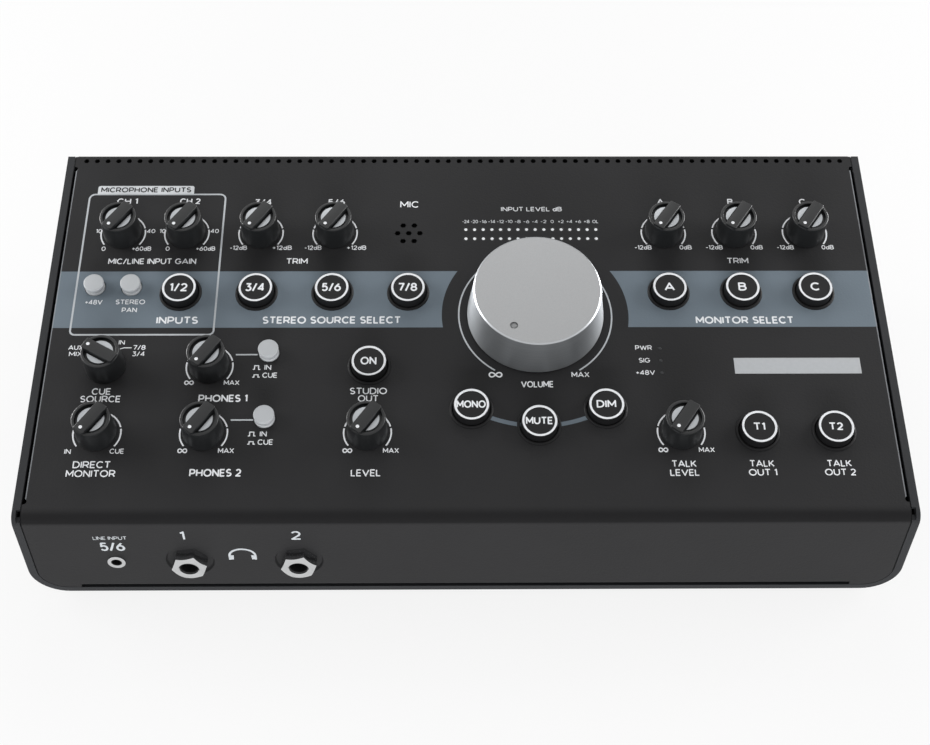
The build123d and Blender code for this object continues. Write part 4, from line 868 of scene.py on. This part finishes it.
round_cap, light_ring, bezel_shapes = cap_mesh(), light_ring_mesh(), bmesh.new()
for name, (x, v, label, capitals, width) in ROUND_BUTTONS.items():
    where = place(PANEL, x, v)
    piece(name + "_cap", round_cap, "cap", name, "button_plastic", where, [name])
    piece(name + "_light_ring", light_ring, "white", name, "button_plastic", where)
    legend = lettering(label, LEGEND_X, 0, capitals, width, 0.18)
    legend = new_mesh(name + "_legend", slab(legend, CAP_FACE - 0.02, CAP_FACE + 0.03))
    piece(name + "_legend", legend, "white", name, "button_plastic", where)
    joined(bezel_shapes, moved(bezel_shape(), x, v))
bezels = new_mesh("bezel_rings", bezel_shapes)
piece("bezel_rings", bezels, "bezel", "housing", "black_plastic", PANEL, ["button_bezels"])

push_cap = push_cap_mesh()
for name, (x, v) in LATCH_BUTTONS.items():
    piece(name + "_cap", push_cap, "light", name, "light_plastic", place(PANEL, x, v), [name])

# ---------------------------------------------------------------- print on the panel
LINE = 0.62  # width of the printed arcs
FRAME_LINE = 0.75
ARC_RADIUS, VOLUME_RING = 9.3, 31.3
ARC_PARTS = ((18.0, 73.5), (78.5, 128.0))  # degrees from twelve o'clock, on either side
small_print = []


def words(text, x, v, capitals, width=None, weight=0.16):
    """Add words to the panel's small print."""
    small_print.extend(lettering(text, x, v, capitals, width, weight))


def knob_arc(x, v):
    """Add the broken scale round a knob to the small print."""
    for side in (-1, 1):
        for start, end in ARC_PARTS:
            arc = ring_points(ARC_RADIUS, 90 + side * start, 90 + side * end, 20, (x, v))
            small_print.extend(stroke(arc, LINE))


for name, (x, v, _) in KNOBS.items():
    if name != "cue_source_knob":
        knob_arc(x, v)
small_print.extend(stroke([(-139.4, 75.4), (-137.8, 75.95), (-134.8, 75.95)], 0.4))
for x, label in ((-144.2, "CH 1"), (-117.4, "CH 2")):
    words("0", x - 7.4, 124.4, 2.2)
    words("+60dB", x + 8.5, 124.4, 2.2, 8.1)
    words("10", x - 10.3, 133.4, 2.1)
    words("40", x + 11.6, 133.4, 2.1)
    words(label, x, 149.0, 3.0, 8.8, 0.18)
for x, label in ((-86.15, "3/4"), (-54.9, "5/6"), (84.0, "A"), (114.0, "B"), (145.0, "C")):
    words(label, x, 148.5, 3.1, None, 0.18)
for x in (-86.15, -54.9):
    words("-12dB", x - 9.0, 124.8, 2.2, 7.2)
    words("+12dB", x + 9.3, 124.8, 2.2, 8.2)
for x in (84.0, 114.0, 144.0):
    words("-12dB", x - 9.0, 124.8, 2.2, 7.2)
    words("0dB", x + 8.9, 124.8, 2.2, 5.2)
for x, v in ((-102.7, 59.7), (-102.7, 29.4), (-38.8, 29.3), (84.0, 29.3)):
    small_print.extend(lying_eight(x - 7.6, v, 3.9, 2.1, 0.5))
    words("MAX", x + 9.3, v, 2.2, 6.2)
words("IN", -154.6, 29.2, 2.2)
words("CUE", -135.6, 29.3, 2.2, 5.6)
words("MIC/LINE INPUT GAIN", -130.6, 118.0, 2.9, 36.6)
words("TRIM", -70.3, 118.0, 2.9, 9.0)
words("TRIM", 114.2, 118.0, 2.9, 9.0)
words("INPUTS", -117.6, 89.0, 3.5, 17.0, 0.19)
words("STEREO SOURCE SELECT", -54.7, 89.0, 3.5, 56.5, 0.19)
words("MONITOR SELECT", 114.2, 88.7, 3.5, 40.2, 0.19)
words("+48V", -152.6, 97.8, 2.3, 7.2)
words("STEREO", -137.6, 97.9, 2.3, 12.1)
words("PAN", -137.6, 94.0, 2.3, 6.2)
words("CUE", -144.6, 55.8, 3.0, 7.6)
words("SOURCE", -144.6, 52.4, 3.0, 16.0)
words("DIRECT", -144.6, 23.5, 3.0, 14.6)
words("MONITOR", -144.6, 19.7, 3.0, 19.0)
words("PHONES 1", -96.3, 52.6, 3.3, 19.4, 0.18)
words("PHONES 2", -96.8, 19.9, 3.3, 20.0, 0.18)
words("STUDIO", -38.9, 55.8, 3.0, 14.8)
words("OUT", -38.9, 52.4, 3.0, 8.2)
words("LEVEL", -39.0, 19.7, 3.0, 11.6)
words("TALK", 84.0, 23.3, 2.9, 9.6)
words("LEVEL", 84.0, 19.5, 2.9, 11.4)
for x, number in ((114.2, "1"), (144.2, "2")):
    words("TALK", x, 23.3, 2.9, 9.6)
    words("OUT " + number, x, 19.5, 2.9)
words("MIC", -23.6, 147.2, 3.4, 8.0, 0.15)
words("VOLUME", 28.3, 58.7, 2.9, 13.0)
small_print.extend(lying_eight(11.7, 63.1, 5.6, 2.6, 0.6))
words("MAX", 45.7, 63.1, 2.5, 7.2)
words("INPUT LEVEL dB", 28.5, 144.7, 2.3, 26.0)
for v, mark in ((75.6, "PWR"), (69.7, "SIG"), (64.0, "+48V")):
    words(mark, 71.8, v, 2.2)
words("AUX", -157.2, 76.1, 2.2, 6.0)
words("MIX", -156.9, 73.1, 2.2, 5.4)
words("IN", -139.0, 78.5, 2.2)
words("7/8", -131.7, 76.1, 2.2)
words("3/4", -131.7, 73.1, 2.2)
for v in (66.7, 36.7):
    words("IN", -79.4, v, 2.4)
    words("CUE", -78.4, v - 3.6, 2.4, 6.0)
    for foot, head in ((v - 0.9, v + 0.8), (v - 4.5, v - 3.4)):  # button out, button in
        sign = [(-85.4, foot), (-84.7, foot), (-84.7, head)]
        sign += [(-83.1, head), (-83.1, foot), (-82.4, foot)]
        small_print.extend(stroke(sign, 0.42))
printed("panel_words", small_print)

METER_MARKS = "-24 -20 -16 -14 -12 -10 -8 -6 -4 -2 0 +2 +4 +6 +8 OL".split()
METER_MARK_WIDTHS = {1: 1.4, 2: 2.6, 3: 3.1}
METER_X, METER_PITCH = 0.4, 3.673
meter_words = []
for column, mark in enumerate(METER_MARKS):
    x = METER_X + METER_PITCH * column
    meter_words += lettering(mark, x, 138.2, 1.7, METER_MARK_WIDTHS[len(mark)])
printed("meter_words", meter_words, "faint_ink")

# leaders to the small buttons, the ring round the volume knob and the frame of the inputs
lines = stroke([(-92.6, 72.65), (-83.9, 72.65)], LINE)
lines += stroke([(-92.5, 42.87), (-83.7, 42.87)], LINE)
lines += stroke(ring_points(VOLUME_RING, -57.3, 237.3, 160, (VOLUME_X, VOLUME_V)), LINE)
frame_outline = [(-160.55, 82.1), (-102.45, 82.1), (-102.45, 152.6), (-160.55, 152.6)]
frame_outline = softened(frame_outline, {0: 2.0, 1: 2.0, 2: 2.5, 3: 2.5}, 8)
lines += stroke([*frame_outline, frame_outline[0]], FRAME_LINE)
printed("panel_lines", lines, "line_ink")

tab_outline = [(-157.4, 152.9), (-116.2, 152.9), (-116.2, 157.1), (-157.4, 157.1)]
tab_outline = softened(tab_outline, {2: 1.0, 3: 1.0})
tab_words = lettering("MICROPHONE INPUTS", -136.8, 155.0, 2.7, 38.6, 0.19)
printed("frame_tab", [tab_outline], "tab_ink", high=INK_HIGH + 0.01)
printed("frame_tab_words", tab_words, "dark_ink", low=INK_HIGH, high=INK_HIGH + 0.03)
strip = [(107.8, 63.4), (158.7, 63.4), (158.7, 70.7), (107.8, 70.7)]
printed("write_on_strip", [strip], "pale")

LINK_WIDTH = 1.8
links = []
for start, end in ((-112.5, -98.0), (-82.0, -67.5)):
    arc = ring_points(TALK_RADIUS, start, end, 16, (VOLUME_X, VOLUME_V))
    links += stroke(arc, LINK_WIDTH)
printed("link_arcs", links, "band_ink")

LAMP_EDGE, HALO_EDGE = 0.66, 1.1
METER_ROWS = (134.0, 129.3)
halos, lamps = [], []
for column in range(len(METER_MARKS)):
    for v in METER_ROWS:
        centre = (METER_X + METER_PITCH * column, v)
        halos.append(ring_points(HALO_EDGE, count=16, centre=centre)[:-1])
        lamps.append(ring_points(LAMP_EDGE, count=16, centre=centre)[:-1])
halo_mesh = new_mesh("meter_halos", slab(halos, INK_LOW, 0.012, lamps))
piece("meter_halos", halo_mesh, "dish_black", "housing", "panel_paint", PANEL)
lamp_mesh = new_mesh("meter_lamps", slab(lamps, INK_LOW, 0.06, bevel=0.03))
piece("meter_lamps", lamp_mesh, "lamp", "housing", "clear_plastic", PANEL)

# ---------------------------------------------------------------- print on the front face
front_words = lettering("LINE INPUT", -137.0, 38.6, 2.1, 13.0, 0.13)
front_words += lettering("5/6", -136.9, 33.0, 5.4, 9.6, 0.16)
front_words += lettering("1", -109.1, 40.0, 5.5, None, 0.15)
front_words += lettering("2", -65.6, 40.0, 5.5, None, 0.15)
HEADPHONES_X, HEADPHONES_Z = -87.4, 26.9
front_words += stroke(bow(HEADPHONES_X, HEADPHONES_Z, 5.0, 4.2, 0, 180, 24), 0.9)
for side in (-1, 1):
    x = HEADPHONES_X + side * 5.0
    front_words += stroke([(x, HEADPHONES_Z), (x, 24.2)], 0.9)
    front_words += stroke([(x - side * 1.1, HEADPHONES_Z + 0.2), (x - side * 0.9, 24.4)], 1.1)
printed("front_words", front_words, "line_ink", FRONT)

# ---------------------------------------------------------------- print on the rear panel
REAR_LABEL_Z = 51.5
rear_words = []
for column, label in zip(LINE_COLUMNS, ("LINE 3/4", "STUDIO", "A", "B", "C")):
    rear_words += lettering(label, -column, REAR_LABEL_Z, 2.8)
    for z, side in ((LINE_ROWS[1], "L"), (LINE_ROWS[0], "R")):
        rear_words += lettering(side, -column - 10.0, z, 2.4)
for x, label in ((-138.0, "INPUT 1"), (-104.0, "INPUT 2"), (-8.0, "DC 12V"), (20.0, "POWER")):
    rear_words += lettering(label, -x, REAR_LABEL_Z, 2.8)
printed("rear_words", rear_words, "white", REAR)

# ---------------------------------------------------------------- nuts and screws
NUT_SEGMENTS = 72
NUT_TURN = math.radians(10.0)
NUT_SLOPE, NUT_BEVEL = math.tan(math.radians(30.0)), 0.35


def nut_shape(flats, bore, low, high, crown):
    """Hexagon nut whose corners are turned down to a cone outside its crown.

    It is flats wide, has a round bore and crown of those radii, and lies between two heights.
    """
    shape = bmesh.new()
    angles = [2 * math.pi * step / NUT_SEGMENTS for step in range(NUT_SEGMENTS)]
    sixth = math.pi / 3
    reach = [flats / 2 / math.cos((a % sixth) - sixth / 2) for a in angles]
    rounds = ((bore, low), (bore, high - NUT_BEVEL), (bore + NUT_BEVEL, high), (crown, high))
    levels = [([radius] * NUT_SEGMENTS, [height] * NUT_SEGMENTS) for radius, height in rounds]
    levels.append((reach, [high - (radius - crown) * NUT_SLOPE for radius in reach]))
    levels.append((reach, [low] * NUT_SEGMENTS))
    rings = []
    for radii, heights in levels:
        ring = []
        for angle, radius, height in zip(angles, radii, heights):
            angle += NUT_TURN
            spot = (radius * math.cos(angle), radius * math.sin(angle), height)
            ring.append(shape.verts.new(spot))
        rings.append(ring)
    rings_to_faces(shape, [*rings, rings[0]])
    return shape


nut_shapes = bmesh.new()
for x, z in JACK_SPOTS:
    joined(nut_shapes, moved(nut_shape(12.3, 3.7, -1.0, 4.3, 5.6), x, z))
mini_ring = [(2.05, -0.5), (3.55, -0.5), (3.55, 1.0), (2.05, 1.0)]
joined(nut_shapes, moved(closed_lathe(softened(mini_ring, {2: 0.3, 3: 0.3}), 40), *MINI_SPOT))
front_nuts = new_mesh("front_nuts", nut_shapes)
piece("front_nuts", front_nuts, "nickel", "housing", "plated_steel", FRONT, ["jack_nuts"])

nut_shapes = bmesh.new()
for column in LINE_COLUMNS:
    for z in LINE_ROWS:
        joined(nut_shapes, moved(nut_shape(12.0, 4.5, 0.02, 2.4, 5.5), -column, z))
rear_nuts = new_mesh("rear_nuts", nut_shapes)
piece("rear_nuts", rear_nuts, "black", "housing", "black_plastic", REAR)


def screw_shape(radius, height):
    """Pan head, and its cross recess as a flat near-black cross: painted shade."""
    head = [(0, -0.5), (radius, -0.5), (radius, height * 0.45), (radius * 0.75, height)]
    head = lathe(softened([*head, (0, height)], {2: height * 0.3, 3: height * 0.3}), 32)
    long, narrow = radius * 0.62, radius * 0.13
    cross = [
        [(-long, -narrow), (long, -narrow), (long, narrow), (-long, narrow)],
        [(-narrow, -long), (narrow, -long), (narrow, long), (-narrow, long)],
    ]
    return head, slab(cross, height - 0.2, height + 0.01)


def screws(name, spots, radius, height, surface):
    """Add the heads of a face's screws as one piece, and the painted shade of their recesses as
    another.
    """
    heads, recesses = bmesh.new(), bmesh.new()
    for spot in spots:
        head, recess = screw_shape(radius, height)
        joined(heads, moved(head, *spot))
        joined(recesses, moved(recess, *spot))
    # the recesses are flat near-black crosses: painted shade
    for label, shape, finish in (("s", heads, "screw"), ("_recess_shade", recesses, "dish_black")):
        mesh = new_mesh(name + label, shape)
        piece(name + label, mesh, finish, "housing", "plated_steel", surface)


floor_spots = [(x, y) for x in (-120.0, 0.0, 120.0) for y in (-76.0, 76.0)]
rear_spots = [(x, 14.0) for x in (-160.0, -56.0, 56.0, 160.0)]
screws("floor_screw", floor_spots, 2.8, 1.3, UNDERSIDE)
screws("rear_screw", rear_spots, 2.6, 1.2, REAR)

# ---------------------------------------------------------------- finishes of the CAD pieces
CAD_FINISHES = {
    "top_cover": "panel",
    "base_tray": "tray",
    "rear_panel": "tray",
    "volume_spindle": "steel",
    "potentiometers": "steel",
    "volume_potentiometer": "steel",
    "tact_switches": "black",
    "latch_switches": "black",
    "meter_light_guide": "lamp",
    "status_light_pipes": "dark_lamp",
    "microphone": "dish_black",
    "control_board": "board",
    "io_board": "board",
    "phones_board": "board",
    "panel_standoffs": "brass",
    "floor_standoffs": "brass",
    "phones_jacks": "black",
    "mini_jack": "black",
    "line_jacks": "black",
    "combo_sockets": "black",
    "usb_socket": "steel",
    "power_inlet": "black",
    "power_switch_case": "black",
    "power_rocker": "gloss_black",
    "ribbon_cable": "sheath",
    "feet": "rubber",
}
EDGE_BEVEL = {"base_tray": 0.3, "top_cover": 0.15, "rear_panel": 0.15}
PLAIN_BEVEL, WELD_REACH = 0.1, 1e-3
for name, finish in CAD_FINISHES.items():
    node = nodes[name]
    node.data.materials.clear()
    node.data.materials.append(FINISHES[finish])
    weld = node.modifiers.new("weld", "WELD")
    weld.merge_threshold = WELD_REACH * MM
    node.data.polygons.foreach_set("use_smooth", [False] * len(node.data.polygons))
    bevel = node.modifiers.new("bevel", "BEVEL")
    bevel.width = EDGE_BEVEL.get(name, PLAIN_BEVEL) * MM
    bevel.segments = 2
    bevel.limit_method = "ANGLE"
    bevel.angle_limit = math.radians(40)

# ---------------------------------------------------------------- floor, light and camera
scene = bpy.context.scene
scene.view_settings.view_transform = "Standard"
WHITE = (1, 1, 1, 1)
WORLD_LEVEL = 0.3
FLOOR_GREY = (0.86, 0.86, 0.86, 1)
FLOOR_GLOW = 0.86  # share of plain white in what is seen of the floor
FLOOR_GAP = 0.05  # between the floor and the feet, so that their faces don't coincide


def seen_directly(finish):
    """1 for what the camera sees, itself or mirrored in or through a surface."""
    rays = finish.node("LightPath").socket.node.outputs
    kinds = ("Camera", "Glossy", "Transmission")
    camera_ray, glossy_ray, passing_ray = (Wire(finish, rays[f"Is {kind} Ray"]) for kind in kinds)
    return camera_ray.math("MAXIMUM", glossy_ray).math("MAXIMUM", passing_ray)


def backdrop_finish():
    """Pale floor that shows white to the camera and to reflections, and keeps a soft shadow."""
    pale = Finish("floor_white")
    matte = pale.node("BsdfDiffuse", None, {"Color": FLOOR_GREY})
    glow = pale.node("Emission", None, {"Color": WHITE, "Strength": 1.0})
    mixed = pale.node("MixShader", None, {0: seen_directly(pale) * FLOOR_GLOW, 1: matte, 2: glow})
    pale.tree.links.new(mixed.socket, pale.output.inputs["Surface"])
    return pale.material


class Surroundings(Finish):
    """The world's light, built like a finish."""

    def __init__(self, world):
        world.use_nodes = True
        self.tree = world.node_tree
        self.tree.nodes.clear()
        self.output = self.tree.nodes.new("ShaderNodeOutputWorld")


floor_shape = bmesh.new()
bmesh.ops.create_grid(floor_shape, x_segments=1, y_segments=1, size=6000.0)
floor_mesh = new_mesh("floor", floor_shape)
floor_mesh.materials.append(backdrop_finish())
floor = bpy.data.objects.new("floor", floor_mesh)
floor.location.z = -FLOOR_GAP * MM
scene.collection.objects.link(floor)

scene.world = bpy.data.worlds.new("studio")
studio = Surroundings(scene.world)
soft = studio.node("Background", None, {"Color": WHITE, "Strength": WORLD_LEVEL})
plain = studio.node("Background", None, {"Color": WHITE, "Strength": 1.0})
chosen = studio.node("MixShader", None, {0: seen_directly(studio), 1: soft, 2: plain})
studio.tree.links.new(chosen.socket, studio.output.inputs["Surface"])


def area_light(name, location, aim_height, size, watts):
    """Lamp aimed at a spot above the origin; lengths in metres."""
    lamp = bpy.data.lights.new(name, "AREA")
    lamp.shape = "RECTANGLE"
    lamp.size, lamp.size_y = size
    lamp.energy = watts
    holder = bpy.data.objects.new(name, lamp)
    holder.location = location
    aim = Vector((0, 0, aim_height)) - Vector(location)
    holder.rotation_euler = aim.to_track_quat("-Z", "Y").to_euler()
    holder.visible_camera = False
    scene.collection.objects.link(holder)
    return holder


area_light("left_window", (-0.8, 0.15, 0.36), 0.05, (0.5, 0.5), 4.2)
area_light("right_window", (0.8, 0.15, 0.36), 0.05, (0.5, 0.5), 4.2)
area_light("back_window", (0.0, 0.9, 0.9), 0.05, (0.8, 0.5), 4.0)
for side in (-1, 1):
    card = area_light("side_card", (0.65 * side, 0.35, 0.16), 0.08, (0.3, 0.3), 7.0)
    card.visible_diffuse = False  # only seen in gloss, down both flanks of the metal
front_fill = area_light("front_fill", (0.0, -2.5, 0.28), 0.04, (2.2, 0.4), 62.0)
front_fill.visible_glossy = False  # or it would blot out the dark side of the volume knob

CAMERA_X, CAMERA_BEFORE_FRONT, CAMERA_Z = -7.16, 335.191, 498.958
CAMERA_TILT = (42.43007, -0.40483, -0.51855)  # degrees about x, y and z
camera_data = bpy.data.cameras.new("camera")
camera_data.lens = 57.056
camera_data.sensor_width = 36.0
camera_data.clip_start = 0.01
camera = bpy.data.objects.new("camera", camera_data)
camera.location = Vector((CAMERA_X, Y_FRONT - CAMERA_BEFORE_FRONT, CAMERA_Z)) * MM
camera.rotation_euler = [math.radians(angle) for angle in CAMERA_TILT]
scene.collection.objects.link(camera)
scene.camera = camera
